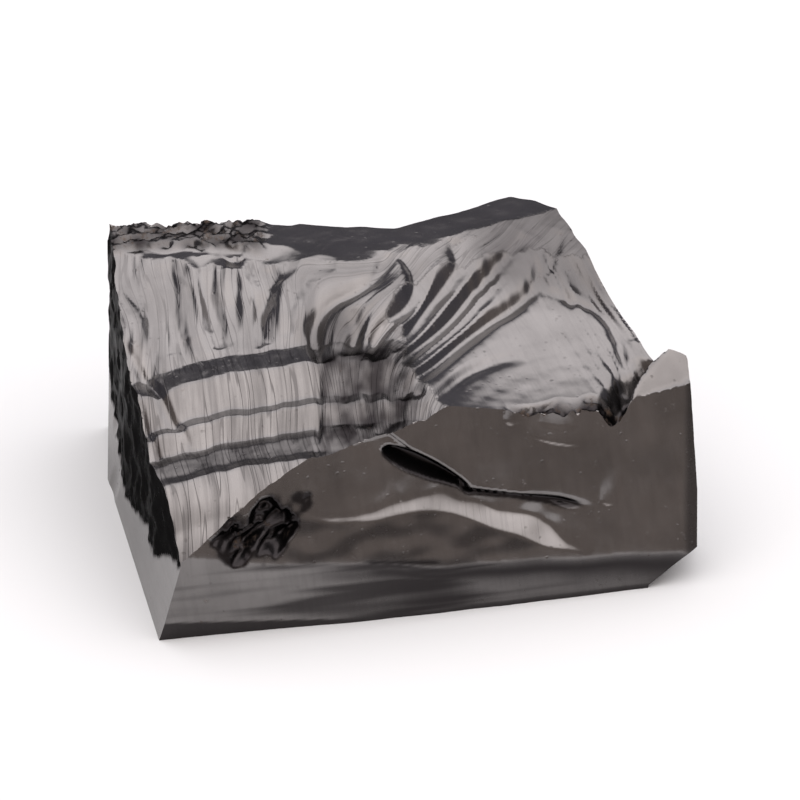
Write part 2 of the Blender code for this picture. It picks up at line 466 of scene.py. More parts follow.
def crushed_edge(x, y):
    """1 along the crushed stretch of the scoop's front edge, and 0 elsewhere."""
    edge = FRONT_EDGE_AT[1] + FRONT_EDGE_SLOPE * (x - FRONT_EDGE_AT[0])
    back = y - edge + bumps(x, y, CRUSHED_WOBBLE)
    return (1.0 - ease(*CRUSHED_WIDTH, back)) * window(*CRUSHED_REACH, x)


def rough_rim(x, y):
    """1 on the rough rim at the back left, and 0 elsewhere."""
    back = y + RIM_SLANT * np.clip(x - RIM_BEND, 0.0, None) + bumps(x, y, RIM_WOBBLE)
    return window(*RIM_REACH, x) * ease(*RIM_BACK, back)


def beside_knob(x, y):
    """The signed distance to the line of the knob's gap, positive on the knob, and the share of its
    length."""
    return beside(x, y, smooth_path(KNOB_GAP))


def knob_gap(x, y):
    """1 along the open gap beside the knob, less at its front end, and 0 elsewhere."""
    signed, share = beside_knob(x, y)
    open_share = GAP_FRONT_SHARE + (1.0 - GAP_FRONT_SHARE) * ease(*GAP_OPENING, share)
    open_share = open_share * (1.0 - ease(*GAP_END, share))
    bell = ridge(signed + rough(x, y, GAP_WOBBLE), GAP_WIDTH + GAP_WIDENING * share)
    return bell * open_share * (np.abs(signed) < GAP_REACH)


def knob_share(x, y):
    """1 on the knob's plan, which lies right of its gap, and 0 outside it."""
    signed, _ = beside_knob(x, y)
    wobble = rough(x, y, KNOB_WOBBLE)
    return ease(*KNOB_SIDE, signed + wobble) * (1.0 - ease(*KNOB_BACK, y + wobble)) * (x > KNOB_LEFT)


def top_parts(x, y):
    """Heights of the top's four parts, each on its own: the worked slope, the ledge, the scoop and the
    knob."""
    slope = soft_min(on_plane("top_slope", 2, x, y), on_plane("top_chin", 2, x, y), SLOPE_BLEND) + SLOPE_LIFT
    slope = slope + terraces(x, y) + hackles(x, y)
    rise = on_plane("top_rise", 2, x, y) + RISE_HACKLES * hackles(x, y)
    plateau = on_plane("top_plateau", 2, x, y)
    slope = soft_min(soft_min(slope, rise, RISE_BLEND), plateau, RISE_BLEND)
    ledge = soft_min(on_plane("top_ledge", 2, x, y), on_plane("top_back", 2, x, y), LEDGE_BLEND)
    ledge = ledge + rough(x, y, LEDGE_GRIT)
    plate_ribs = ribs(*along_edge(x, y), PLATE_RIBS) * ease(*PLATE_BACK, y) * ease(*PLATE_LEFT, x)
    scoop = scoop_floor(x, y) + scoop_ripples(x, y) - plate_ribs
    knob = soft_min(plateau, on_plane("knob_brow", 2, x, y) + BROW_LIFT, BROW_BLEND)
    knob = knob - KNOB_CORNER_DROP * ease(*KNOB_CORNER, x) ** 2
    knob = knob - KNOB_SHOULDER_DROP * (1.0 - ease(*KNOB_SHOULDER, beside_knob(x, y)[0]))
    return slope, ledge, scoop, knob + rough(x, y, KNOB_GRIT)


def top_sheet(x, y):
    """Height of the top over the plan: the lowest of the worked slope, the ledge and the scoop, with the
    knob left standing, the rim broken rough, and nicks along the front edge."""
    slope, ledge, scoop, knob = top_parts(x, y)
    high = np.minimum(slope, ledge)
    grooves = carved(x, y, HACKLE_LINES) * (ledge > slope - GROOVE_REACH)
    height = np.minimum(high, scoop) - grooves - GAP_DEPTH * knob_gap(x, y)
    height = height + knob_share(x, y) * np.maximum(0.0, np.minimum(knob, high + KNOB_RISE) - height)
    height = height + rough_rim(x, y) * (RIM_RISE - np.abs(rough(x, y, RIM_RUBBLE)))
    broken = ribs(x, y, CRUSHED_CHIPS) + ribs(x, y, CRUSHED_CRUMBS)
    crushed = crushed_edge(x, y) * (CRUSHED_SINK + CRUSHED_DEPTH * broken)
    height = height - nicks(x, y, TOP_NICKS) - nicks(x, y, scattered(*EDGE_NICKS))
    return height - crushed + rough(x, y, TOP_GRIT)


# How dull the top is in places, where shade is painted on it, and how strong its streaks are.
SCOOP_STREAKS, LEDGE_STREAKS, SLOPE_STREAKS = 0.25, 0.1, 1.0
TERRACE_STREAKS, TERRACE_STREAKS_END = 0.8, (8.5, 9.5)
SPECKLED = 0.80
SPECKLES = (0.5, 0.9, 1.3, 61, 3)
PAST_CRACK, PAST_CRACK_REACH = (8.95, 9.15), (2.4, 8.2, 1.2)
PAST_CRACK_END, PAST_CRACK_SLANT, PAST_CRACK_LEVEL = (12.4, 13.6), 0.15, 6.0
ROOT_PATCH, ROOT_PATCH_SIZE, ROOT_DULL = (9.6, 9.9), (1.1, 1.4), 0.60
CREST_PATCH, CREST_PATCH_SIZE, CREST_DULL = (16.9, 14.6), (2.0, 1.5), 0.45
CHIN_TIP, CHIN_REACH, CHIN_DULL = (0.3, 1.2), (3.0, 6.0, 0.8), 0.45
RIM_DULL = 0.75
RIM_BLOTCHES = (0.5, 0.9, 0.9, 62)
TREAD_BAND, TREAD_BAND_END, TREAD_DULL = (2.9, 4.7, 0.15), (11.5, 12.5), 0.32
# Painted shade on the plate at the back right of the top.
SHADED_PLATE_BACK, SHADED_PLATE_LEFT = (11.5, 14.0), (14.5, 17.0)
PLATE_SLANT, PLATE_LEVEL, PLATE_SHADE = 0.2, 13.0, 0.45
KNOB_DULL, RIM_GRIME, CRUSHED_GRIME = 0.16, 0.30, 0.45


def dull_patches(x, y):
    """How dull the worked slope is in four speckled patches: past the crack, at the hackles' root, on the
    crest and at the tip of the chin."""
    speckled = SPECKLED + rough(x, y, SPECKLES)
    end = ease(*PAST_CRACK_END, x + PAST_CRACK_SLANT * (y - PAST_CRACK_LEVEL))
    past_crack = ease(*PAST_CRACK, x) * (1.0 - end) * window(*PAST_CRACK_REACH, y) * speckled
    root = ROOT_DULL * ridge(oval(x, y, ROOT_PATCH, ROOT_PATCH_SIZE), 1.0)
    crest = CREST_DULL * speckled * ridge(oval(x, y, CREST_PATCH, CREST_PATCH_SIZE), 1.0)
    chin = CHIN_DULL * speckled * (1.0 - ease(*CHIN_TIP, y)) * window(*CHIN_REACH, x)
    return highest(past_crack, root, crest, chin)


def top_finish(x, y):
    """The top's grain across and along its streaks, how strong they are, its grime, and its dullness, with
    painted shade at the back right and in the knob's gap.
    """
    slope, ledge, scoop, _ = top_parts(x, y)
    on_scoop = scoop < np.minimum(slope, ledge)
    on_ledge = (ledge < slope) & ~on_scoop
    edge_across, edge_along = along_edge(x, y)
    across = np.where(on_scoop, edge_across, hackle_line(x, y))
    along = np.where(on_scoop, edge_along, y)
    distance = terrace_distance(x, y)
    stepped = SLOPE_STREAKS + TERRACE_STREAKS * (1.0 - ease(*TERRACE_STREAKS_END, distance))
    strength = np.where(on_scoop, SCOOP_STREAKS, np.where(on_ledge, LEDGE_STREAKS, stepped))
    knob, crushed, rim = knob_share(x, y), crushed_edge(x, y), rough_rim(x, y)
    # Painted shade on the plate at the back right.
    shaded_plate = ease(*SHADED_PLATE_BACK, y) * ease(*SHADED_PLATE_LEFT, x + PLATE_SLANT * (y - PLATE_LEVEL))
    blotchy = rim * (RIM_DULL + bumps(x, y, RIM_BLOTCHES))
    band = TREAD_DULL * window(*TREAD_BAND, distance) * (1.0 - ease(*TREAD_BAND_END, x))
    dull = highest(
        # The knob's gap is darkened by painted shade.
        knob_gap(x, y),
        crushed,
        PLATE_SHADE * shaded_plate * (1.0 - on_ledge),
        np.clip(dull_patches(x, y), 0.0, 1.0),
        np.clip(blotchy, 0.0, 1.0),
        np.where(on_scoop | on_ledge, 0.0, band),
        KNOB_DULL * knob,
    )
    return across, along, strength * (1.0 - knob), np.maximum(RIM_GRIME * rim, CRUSHED_GRIME * crushed), dull


# ---------------------------------------------------------------- the front sheet

# The scar on the front: the line of its lip and the line of its upper edge, as heights by distance from the
# left, and its depth along it. Over the lip it drops in by a steepness, and it is this much shallower at
# its upper edge.
LIP_LINE = (
    (6.5, 5.40), (8.25, 4.82), (9.75, 4.38), (11.25, 4.28), (12.4, 4.36), (13.3, 4.43), (14.3, 4.22),
    (15.25, 3.82), (17.0, 3.04), (18.25, 2.46), (19.3, 2.10), (20.3, 1.80),
)
EDGE_LINE = (
    (6.5, 6.60), (9.0, 7.20), (11.8, 7.55), (15.0, 4.93), (17.25, 4.40), (19.75, 3.85), (20.75, 3.69),
)
SCAR_X = (7.0, 8.7, 10.75, 12.25, 13.4, 15.25, 17.25, 18.5, 19.2, 20.4)
SCAR_DEPTH = (0.0, 0.08, 0.16, 0.23, 0.31, 0.44, 0.58, 0.50, 0.15, 0.0)
LIP_STEEPNESS, SCAR_RISE, SCAR_BLEND, SCAR_END, EDGE_WOBBLE = 1.50, 0.25, 0.10, (-0.05, 0.20), 0.3
THINNEST_SCAR = 0.2
LIP_WOBBLE = (0.07, 1.6, 1.4, 61)
SCAR_WAVES = (0.2, 1.1, 1.1, 65)
LIP_WAVES = (0.3, 1.3, 0.9, 66)

# The open slot: a lens along its line, and then a fine tail along the scar's upper edge.
SLOT_START, SLOT_END = np.array((11.5, 7.02)), np.array((15.4, 4.85))
SLOT_DEPTH, SLOT_HALF, SLOT_SKEW, SLOT_BLUNTNESS = 0.85, 0.42, 0.7, 0.7
SLOT_WALL, SLOT_TIPS = (0.36, 0.14), (0.02, 0.25)
TAIL_DEPTH, TAIL_DROP, TAIL_WIDTH, TAIL_REACH = 0.45, 0.04, 0.15, (15.0, 18.6, 1.7)
TAIL_SWELLING, TAIL_SWELL_AT, TAIL_SWELL_WIDTH = 0.05, 18.6, 1.0

# The rough hollow at the left end of the scar: an oval that rises to the right, frayed along the scar's lean.
CREVICE_AT, CREVICE_SIZE, CREVICE_SLANT = (6.7, 4.52), (1.75, 0.95), 0.22
CREVICE_FRAYING = (1.1, 1.5, 1.1, 63, 3)
SPLINTER_RIBS = (0.5, 1.7, 0.9, 64)
CREVICE_DEPTH, LEAN_ALONG, LEAN_ACROSS = 0.60, 0.8, 0.6

FRONT_LIPS = (
    # start x, start z, end x, end z, depth, height
    (17.5, 6.75, 20.0, 6.05, 0.07, 1.7),
    (18.0, 7.20, 19.6, 6.85, 0.05, 1.3),
    (16.5, 7.50, 17.1, 7.30, 0.08, 1.2),
    (20.5, 3.80, 21.3, 3.70, 0.07, 1.6),
    (15.3, 5.15, 17.6, 4.60, 0.06, 1.5),
)
LIP_SAG, LIP_RISE, LIP_BLUNTNESS = 0.12, 1.6, 0.7

# The undercut foot that the front stands on, and the painted shadow along it, are tallest at the left end and
# fall to the right.
UNDERCUT, FOOT_HEIGHT, FOOT_FALL, FOOT_START, FOOT_LENGTH = 0.15, 0.88, 0.088, 2.5, 7.5

# The skirt swells gently, and leans back at its foot on the right.
SKIRT_SWELL, SKIRT_BEND, SKIRT_PHASE, SKIRT_OUT = 0.10, 3.4, 0.6, 0.02
SKIRT_FOLDS = (0.08, 2.9, 9.0, 85)
SKIRT_FOLDS_START = (8.0, 12.0)
SKIRT_WAVES = (0.04, 6.0, 1.6, 71)
SKIRT_LEAN, SKIRT_LEAN_START, SKIRT_LEAN_HEIGHT = 0.13, (6.0, 12.0), 1.2
CHEEK_WAVES = (0.03, 6.0, 5.0, 72)
FRONT_BLEND, FRONT_SLANT = 0.06, 0.2
FRONT_LINES = (0.008, 0.9, 4.0, 74, 0.2)
FRONT_GRIT = (0.003, 0.9, 0.9, 76, 3)


def scar_lip(x):
    """Height of the scar's lip."""
    return np.interp(x, *smooth_path(LIP_LINE).T)


def front_scar(x, z):
    """The long scar's depth: over its lip it drops in at about thirty degrees, runs on level, and ends
    at its upper edge."""
    wobble = bumps(x, z, LIP_WOBBLE)
    lip = scar_lip(x) + wobble
    edge = np.interp(x, *np.transpose(EDGE_LINE)) + EDGE_WOBBLE * wobble
    deepest = np.interp(x, SCAR_X, SCAR_DEPTH) * (1.0 + bumps(x, z, SCAR_WAVES))
    dropping = np.clip(z - lip, 0.0, None) / (LIP_STEEPNESS + bumps(x, z, LIP_WAVES))
    risen = SCAR_RISE * ease(0.0, 1.0, (z - lip) / np.maximum(edge - lip, THINNEST_SCAR))
    depth = soft_min(dropping, deepest * (1.0 - risen), SCAR_BLEND)
    return np.maximum(depth, 0.0) * (1.0 - ease(*SCAR_END, z - edge))


def dark_slot(x, z):
    """The depth of the open slot under the front's upper part. It is open by the half width of a lens on
    each side of its line, a sine of the share of its length raised to a skew, and then by a bell round its
    tail's line."""
    way = SLOT_END - SLOT_START
    length = np.hypot(*way)
    along = ((x - SLOT_START[0]) * way[0] + (z - SLOT_START[1]) * way[1]) / length
    off = ((x - SLOT_START[0]) * way[1] - (z - SLOT_START[1]) * way[0]) / length
    share = np.clip(along / length, 0.0, 1.0)
    half = SLOT_HALF * np.sin(np.pi * share**SLOT_SKEW) ** SLOT_BLUNTNESS
    outside = ease(half - SLOT_WALL[0], half + SLOT_WALL[1], np.abs(off))
    lens = SLOT_DEPTH * (1.0 - outside) * ease(*SLOT_TIPS, half)
    tail_line = np.interp(x, *np.transpose(EDGE_LINE)) - TAIL_DROP
    tail_width = TAIL_WIDTH + TAIL_SWELLING * ridge(x - TAIL_SWELL_AT, TAIL_SWELL_WIDTH)
    tail = TAIL_DEPTH * ridge(z - tail_line, tail_width) * window(*TAIL_REACH, x)
    return np.maximum(lens, tail)


def along_scar(x, z):
    """The distances along and across the scar's lean."""
    return LEAN_ALONG * x + LEAN_ACROSS * z, LEAN_ALONG * z - LEAN_ACROSS * x


def crevice_reach(x, z):
    """How far inside the rough hollow at the left end of the scar a place lies: over 0 inside it, under 0
    outside."""
    right = x - CREVICE_AT[0]
    above = z - CREVICE_AT[1] - CREVICE_SLANT * right
    middle = (right / CREVICE_SIZE[0]) ** 2 + (above / CREVICE_SIZE[1]) ** 2
    return 1.0 - middle - rough(*along_scar(x, z), CREVICE_FRAYING)


def crevice(x, z):
    """The hollow's depth: splinters that lean with the scar, deep in the middle."""
    return np.clip(crevice_reach(x, z), 0.0, 1.0) * (CREVICE_DEPTH + ribs(*along_scar(x, z), SPLINTER_RIBS))


def short_lips(x, z, lips):
    """Small ledges that face up. Along each segment, the surface drops in by a depth over a short height,
    and comes back out slowly above it. It fades towards the segment's ends."""
    total = np.zeros_like(x)
    for start_x, start_z, end_x, end_z, depth, length in lips:
        way = np.array((end_x - start_x, end_z - start_z))
        share = np.clip(((x - start_x) * way[0] + (z - start_z) * way[1]) / way.dot(way), 0.0, 1.0)
        sag = LIP_SAG * np.sin(np.pi * share)
        above = (x - start_x) * -way[1] / np.hypot(*way) + (z - start_z) * way[0] / np.hypot(*way) + sag
        shape = ease(0.0, LIP_RISE * depth, above) * (1.0 - ease(LIP_RISE * depth, length, above))
        total += depth * shape * np.sin(np.pi * share) ** LIP_BLUNTNESS
    return total


def undercut_and_shadow_height(x):
    """Height of the painted shadow band along the front's foot, and of its undercut, which is tallest on the
    left.
    """
    return FOOT_HEIGHT - FOOT_FALL * np.clip(x - FOOT_START, 0.0, FOOT_LENGTH)


def front_planes(x, z):
    """How far back the front's skirt and its cheek lie, each on its own."""
    skirt = on_plane("front_skirt", 1, x, z) + SKIRT_SWELL * np.sin(x / SKIRT_BEND + SKIRT_PHASE) - SKIRT_OUT
    skirt = skirt + bumps(x, z, SKIRT_FOLDS) * ease(*SKIRT_FOLDS_START, x)
    lean = SKIRT_LEAN * ease(*SKIRT_LEAN_START, x) * np.minimum(z, SKIRT_LEAN_HEIGHT)
    cheek = on_plane("front_cheek", 1, x, z) + bumps(x, z, CHEEK_WAVES)
    return skirt + bumps(x, z, SKIRT_WAVES) + lean, cheek


def front_sheet(x, z):
    """How far back the front lies: the deeper of the skirt and the cheek, with the scar, the slot, the
    crevice and small lips sunk into it, and undercut where it meets the table."""
    skirt, cheek = front_planes(x, z)
    base = -soft_min(-skirt, -cheek, FRONT_BLEND)
    lines = hairs(x + FRONT_SLANT * z, z, FRONT_LINES)
    sunk = highest(front_scar(x, z), dark_slot(x, z), crevice(x, z)) + short_lips(x, z, FRONT_LIPS)
    under = UNDERCUT * np.clip(undercut_and_shadow_height(x) - z, 0.0, None)
    return base + lines + sunk + under + rough(x, z, FRONT_GRIT)


# How dull the front is in places, and where shade is painted on it.
CREVICE_SHADE_SPAN, SLOT_SHADE_SPAN, CREVICE_GRIME, CREVICE_GRIME_DEPTH = (-0.60, -0.08), (0.02, 0.16), 0.25, (0.1, 0.4)
CLOUDY, CLOUDS_SPAN = 0.15, (-0.6, 0.6)
CLOUDS = (1.0, 2.6, 2.2, 80, 3)
STREAK_HEIGHT, STREAK_FALL, STREAK_MIDDLE, STREAK_WIDTH = 2.62, 0.13, 11.6, 0.15
STREAK_REACH = (11.2, 13.7, 0.8)
SKIRT_SPAN, SKIRT_BAND_SCALE, SKIRT_BAND_AT, SKIRT_BAND_WIDTH = (-0.06, 0.02), 0.36, 0.40, 0.45
SKIRT_BAND_START = (7.0, 11.0)
SKIRT_BAND_WOBBLE = (1.5, 2.0, 1.0, 87)
SKIRT_STREAKS = (0.5, 5.0, 0.26, 77)
BROAD_SKIRT_STREAKS = (0.6, 7.0, 0.7, 79)
STREAKY_SPAN, STREAKY_LEVEL = (-0.5, 0.5), 0.4
MORE_STREAKS, MORE_STREAKS_START, LESS_STREAKS, LESS_STREAKS_START = 0.7, (6.0, 11.0), 0.5, (14.0, 17.0)
SKIRT_SHADE, SKIRT_DARKER, SKIRT_SHADE_START = 0.14, 0.30, (9.0, 14.0)
SKIRT_STREAK_SHADE, SKIRT_STREAK_LIGHTER = 0.74, 0.20
UNDER_LIP_SPAN, UNDER_LIP_REACH, MOTTLE_SPAN, UNDER_LIP_SHADE = (-0.2, 0.1), (8.0, 18.5, 1.0), (-0.5, 0.5), 0.7
MOTTLES = (1.0, 1.6, 0.6, 78)
# Painted shadow along the foot, and painted shade in a strip at the right edge.
FOOT_SPAN, PAINTED_FOOT_SHADOW, RIGHT_STRIP, RIGHT_EDGE_SHADE = (-0.05, 0.05), 0.9, (23.9, 24.3), 0.8
FRONT_GRAIN_SLANT, FRONT_STREAKS = 0.15, 0.35


def shaded_skirt(x, z):
    """1 on the skirt and 0 on the cheek, and how much painted shade darkens the skirt: in level streaks, and
    in a band below its top edge."""
    skirt_back, cheek_back = front_planes(x, z)
    skirt = ease(*SKIRT_SPAN, skirt_back - cheek_back)
    streaky = bumps(x, z, SKIRT_STREAKS) + bumps(x, z, BROAD_SKIRT_STREAKS)
    streaky = streaky + MORE_STREAKS * ease(*MORE_STREAKS_START, x)
    streaky = streaky - LESS_STREAKS * ease(*LESS_STREAKS_START, x)
    streaky = ease(*STREAKY_SPAN, streaky - STREAKY_LEVEL)
    below = (skirt_back - cheek_back) / SKIRT_BAND_SCALE
    band = ridge(below - SKIRT_BAND_AT, SKIRT_BAND_WIDTH)
    band = band * ease(*SKIRT_BAND_START, x + bumps(x, z, SKIRT_BAND_WOBBLE))
    streaky = np.maximum(streaky, band)
    # Painted shade on the skirt, stronger on its right part.
    right = ease(*SKIRT_SHADE_START, x)
    base, streaks = SKIRT_SHADE + SKIRT_DARKER * right, SKIRT_STREAK_SHADE - SKIRT_STREAK_LIGHTER * right
    return skirt, skirt * (base + streaks * streaky)


def front_finish(x, z):
    """The front's grain runs up and down. Grime fills its crevice. Painted shade darkens its hollows, the
    skirt, most of all on its right part, the part under the lip, a band along its foot and a strip at its
    right edge."""
    # Painted shade in the crevice and in the slot.
    hollow = np.maximum(ease(*CREVICE_SHADE_SPAN, crevice_reach(x, z)), ease(*SLOT_SHADE_SPAN, dark_slot(x, z)))
    skirt, skirt_shade = shaded_skirt(x, z)
    # A painted contact shadow along the foot, and painted shade in a strip at the right edge.
    foot = np.maximum(1.0 - ease(*FOOT_SPAN, z - undercut_and_shadow_height(x)), RIGHT_EDGE_SHADE * ease(*RIGHT_STRIP, x))
    # Mottled painted shade under the scar's lip.
    shade_under_lip = (1.0 - skirt) * (1.0 - ease(*UNDER_LIP_SPAN, z - scar_lip(x))) * window(*UNDER_LIP_REACH, x)
    mottled_shade = UNDER_LIP_SHADE * (ease(*MOTTLE_SPAN, bumps(x, z, MOTTLES)) * shade_under_lip)
    streak = ridge(z - STREAK_HEIGHT + STREAK_FALL * (x - STREAK_MIDDLE), STREAK_WIDTH)
    streak = streak * window(*STREAK_REACH, x)
    cloudy = CLOUDY * ease(*CLOUDS_SPAN, rough(x, z, CLOUDS))
    # Real dull clouds and a streak, mixed with the painted shade above.
    dull = highest(hollow, PAINTED_FOOT_SHADOW * foot, skirt_shade, mottled_shade, streak, cloudy)
    grime = CREVICE_GRIME * ease(*CREVICE_GRIME_DEPTH, crevice(x, z))
    return x + FRONT_GRAIN_SLANT * z, z, np.full_like(x, FRONT_STREAKS), grime, dull


# ---------------------------------------------------------------- the left sheet

# The steep wall bulges where the terraces meet it, and its ribs slant. Nicks run along the whole side.
WALL_BULGE, WALL_BULGE_AT, WALL_BULGE_WIDTH = 0.20, 4.3, 1.6
WALL_RIB_SLANT = 0.6
WALL_RIBS = (0.12, 1.3, 3.5, 84)
WALL_GRIT = (0.04, 1.1, 1.1, 86, 4)
LEFT_NICKS = (14, (9.0, 0.0), (19.0, 10.0), (0.3, 1.1), (0.03, 0.14), 83)
# The wall's painted dark reflection sets in over the first span.
WALL_SPAN, WALL_GRIME, WALL_GRIME_HEIGHT, LEFT_STREAKS = (-0.03, 0.03), 0.3, (5.0, 10.0), 0.4


def left_wall(y, z):
    """How far right the left side's wall lies: the further of its front and its back, bulging where they
    meet the terraces, and broken rough."""
    bulge = WALL_BULGE * ridge(y - WALL_BULGE_AT, WALL_BULGE_WIDTH)
    wall = np.maximum(on_plane("left_wall", 0, y, z) - bulge, on_plane("left_back", 0, y, z))
    return wall + (ribs(y + WALL_RIB_SLANT * z, z - y, WALL_RIBS) + rough(y, z, WALL_GRIT))


def left_sheet(y, z):
    """How far right the left side lies: a foot that leans back under a steep wall, with nicks along it."""
    return np.minimum(on_plane("left_foot", 0, y, z), left_wall(y, z)) + nicks(y, z, scattered(*LEFT_NICKS))


def left_finish(y, z):
    """The left side's grain runs level. Its rough wall is painted dark and dull, a painted dark reflection on
    a matt black face, and the clean foot below it stays bright."""
    # Painted dark reflection on the rough wall, kept as a matt black face.
    dull = ease(*WALL_SPAN, on_plane("left_foot", 0, y, z) - left_wall(y, z))
    return z, y, np.full_like(y, LEFT_STREAKS), WALL_GRIME * dull * ease(*WALL_GRIME_HEIGHT, z), dull


# ---------------------------------------------------------------- the right sheet

# The side's ribs fan out from a place past its top back corner, and calm down towards the top.
RIGHT_FAN = (20.0, 14.0)
KNOB_STEP = (8.2, 8.5)
KNOB_STEP_FRAYING = (0.20, 1.0, 1.0, 91, 3)
CALM_HEIGHT, RIB_HEIGHT, RIB_LOSS = (5.0, 9.0), 0.30, 0.18
RIGHT_RIBS = (1.0, 0.16, 12.0, 92)
FINE_RIGHT_RIBS = (0.08, 0.07, 10.0, 93)
RIGHT_WAVE_HEIGHT, RIGHT_WAVE_BENDS = 0.10, 0.95
RIGHT_WAVE_WOBBLE = (1.2, 4.0, 4.0, 94)
RIGHT_NICKS = (8, (8.5, 0.0), (19.0, 6.0), (0.8, 2.0), (0.05, 0.14), 95)
RIGHT_GRIT = (0.01, 0.6, 0.6, 96, 3)
RIGHT_GRAIN, RIGHT_STREAKS = 14.0, 0.8
RIGHT_RUST = (0.5, (0.3, 0.8), (1.0, 2.0, 2.0, 97))
RIGHT_CLOUDS = (0.5, (0.0, 0.8), (1.0, 3.0, 3.0, 98))


def right_sheet(y, z):
    """How far right the right side lies: the nearer of its cheek and its long side, which stops behind the
    knob, with ribs that fan up from the foot."""
    cheek, side = on_plane("right_cheek", 0, y, z), on_plane("right_side", 0, y, z)
    step = ease(*KNOB_STEP, y + rough(y, z, KNOB_STEP_FRAYING))
    base = cheek + step * (np.minimum(cheek, side) - cheek)
    turn, ring = fan(y, z, RIGHT_FAN)
    calm = ease(*CALM_HEIGHT, z)
    fanned = (RIB_HEIGHT - RIB_LOSS * calm) * ribs(turn, ring, RIGHT_RIBS)
    fanned = fanned + bumps(turn, ring, FINE_RIGHT_RIBS)
    waves = RIGHT_WAVE_HEIGHT * np.sin(ring * RIGHT_WAVE_BENDS + bumps(y, z, RIGHT_WAVE_WOBBLE))
    waves = waves * (1.0 - calm)
    return base - step * (fanned + waves) - nicks(y, z, scattered(*RIGHT_NICKS)) - rough(y, z, RIGHT_GRIT)


def right_finish(y, z):
    """The grain of the right side fans out, with rusty patches and dull clouds."""
    turn, ring = fan(y, z, RIGHT_FAN)
    streaks = np.full_like(y, RIGHT_STREAKS)
    return RIGHT_GRAIN * turn, ring, streaks, patches(y, z, *RIGHT_RUST), patches(y, z, *RIGHT_CLOUDS)


# ---------------------------------------------------------------- the back sheet

# The back's ribs fan out from its top left corner, and its waves ring that corner: each rises slowly and
# falls fast.
BACK_FAN = (1.5, 11.0)
BACK_HEAD, BACK_HEAD_END, BACK_HEAD_HEIGHT = 0.60, (7.0, 12.0), (6.0, 9.0)
WAVE_LENGTH, WAVE_FALL, WAVE_HEIGHT, WAVE_SHARE = 2.3, (0.72, 1.0), 0.42, 0.6
WAVE_FADE, WAVE_LEVEL = (0.0, 0.6), 0.3
WAVE_WOBBLE = (0.25, 3.5, 3.5, 101)
WAVE_PATCHES = (1.0, 5.0, 5.0, 106)
BACK_RIBS = (0.20, 0.15, 12.0, 102)
FINE_BACK_RIBS = (0.04, 0.06, 10.0, 103)
BLOCK_RIBS = (0.10, 1.4, 6.0, 104)
BACK_NICKS = (12, (0.5, 0.5), (23.0, 10.5), (0.8, 2.2), (0.05, 0.20), 105)
BACK_GRIT = (0.01, 0.7, 0.7, 106, 3)
BACK_GRAIN, BACK_STREAKS = 12.0, 0.7
BACK_RUST = (0.6, (0.2, 0.8), (1.0, 2.5, 2.0, 107))
BACK_CLOUDS = (0.6, (0.0, 0.8), (1.0, 3.0, 3.0, 108))


def back_sheet(x, z):
    """How far back the back lies: the left part is one face with shell-like waves, and the right part
    stands out behind a wall."""
    head = BACK_HEAD * (1.0 - ease(*BACK_HEAD_END, x)) * ease(*BACK_HEAD_HEIGHT, z)
    side = on_plane("back_side", 1, x, z) + head
    block = np.minimum(on_plane("back_wall", 1, x, z), on_plane("back_step", 1, x, z))
    block = np.minimum(block, on_plane("back_corner", 1, x, z))
    turn, ring = fan(x, z, BACK_FAN)
    phase = ring / WAVE_LENGTH + bumps(x, z, WAVE_WOBBLE)
    phase = phase - np.floor(phase)
    waves = WAVE_HEIGHT * (phase - ease(*WAVE_FALL, phase))
    waves = waves * ease(*WAVE_FADE, WAVE_LEVEL + bumps(x, z, WAVE_PATCHES))
    fanned = ribs(turn, ring, BACK_RIBS) + bumps(turn, ring, FINE_BACK_RIBS)
    base = np.maximum(side - WAVE_SHARE * waves - fanned, block - ribs(x, z, BLOCK_RIBS))
    return base - nicks(x, z, scattered(*BACK_NICKS)) - rough(x, z, BACK_GRIT)


def back_finish(x, z):
    """The grain of the back fans out, with rusty patches and dull clouds."""
    turn, ring = fan(x, z, BACK_FAN)
    streaks = np.full_like(x, BACK_STREAKS)
    return BACK_GRAIN * turn, ring, streaks, patches(x, z, *BACK_RUST), patches(x, z, *BACK_CLOUDS)


# ---------------------------------------------------------------- the bottom sheet

# The underside is flat, but for the waves of its foot and the ribs and waves of its heel.
FOOT_WAVES = (0.05, 1.2, 1.2, 111)
HEEL_RIBS = (0.22, 1.3, 8.0, 112)
HEEL_WAVE, HEEL_BENDS = 0.08, 1.7
BOTTOM_STREAKS = 0.3
BOTTOM_RUST = (0.4, (0.0, 0.8), (1.0, 2.5, 2.5, 113))
BOTTOM_CLOUDS = (0.4, (0.0, 0.8), (1.0, 3.0, 3.0, 114))


def bottom_sheet(x, y):
    """Height of the underside: flat on the table, and raised by the foot and the heel where they undercut
    it."""
    foot = on_plane("right_foot", 2, x, y) + bumps(x, y, FOOT_WAVES)
    heel = on_plane("back_heel", 2, x, y) + ribs(x, y, HEEL_RIBS) + HEEL_WAVE * np.sin(y * HEEL_BENDS)
    return highest(foot, heel, 0.0)


def bottom_finish(x, y):
    """The grain of the underside runs to the back, with rusty patches and dull clouds."""
    return x, y, np.full_like(x, BOTTOM_STREAKS), patches(x, y, *BOTTOM_RUST), patches(x, y, *BOTTOM_CLOUDS)


# ---------------------------------------------------------------- making the chip


def grid_of(low, high, cell):
    """Two arrays of coordinates over a rectangle, at most a cell apart."""
    counts = [int(math.ceil((h - l) / cell)) + 1 for l, h in zip(low, high)]
    return np.meshgrid(*(np.linspace(l, h, n) for l, h, n in zip(low, high, counts)), indexing="ij")


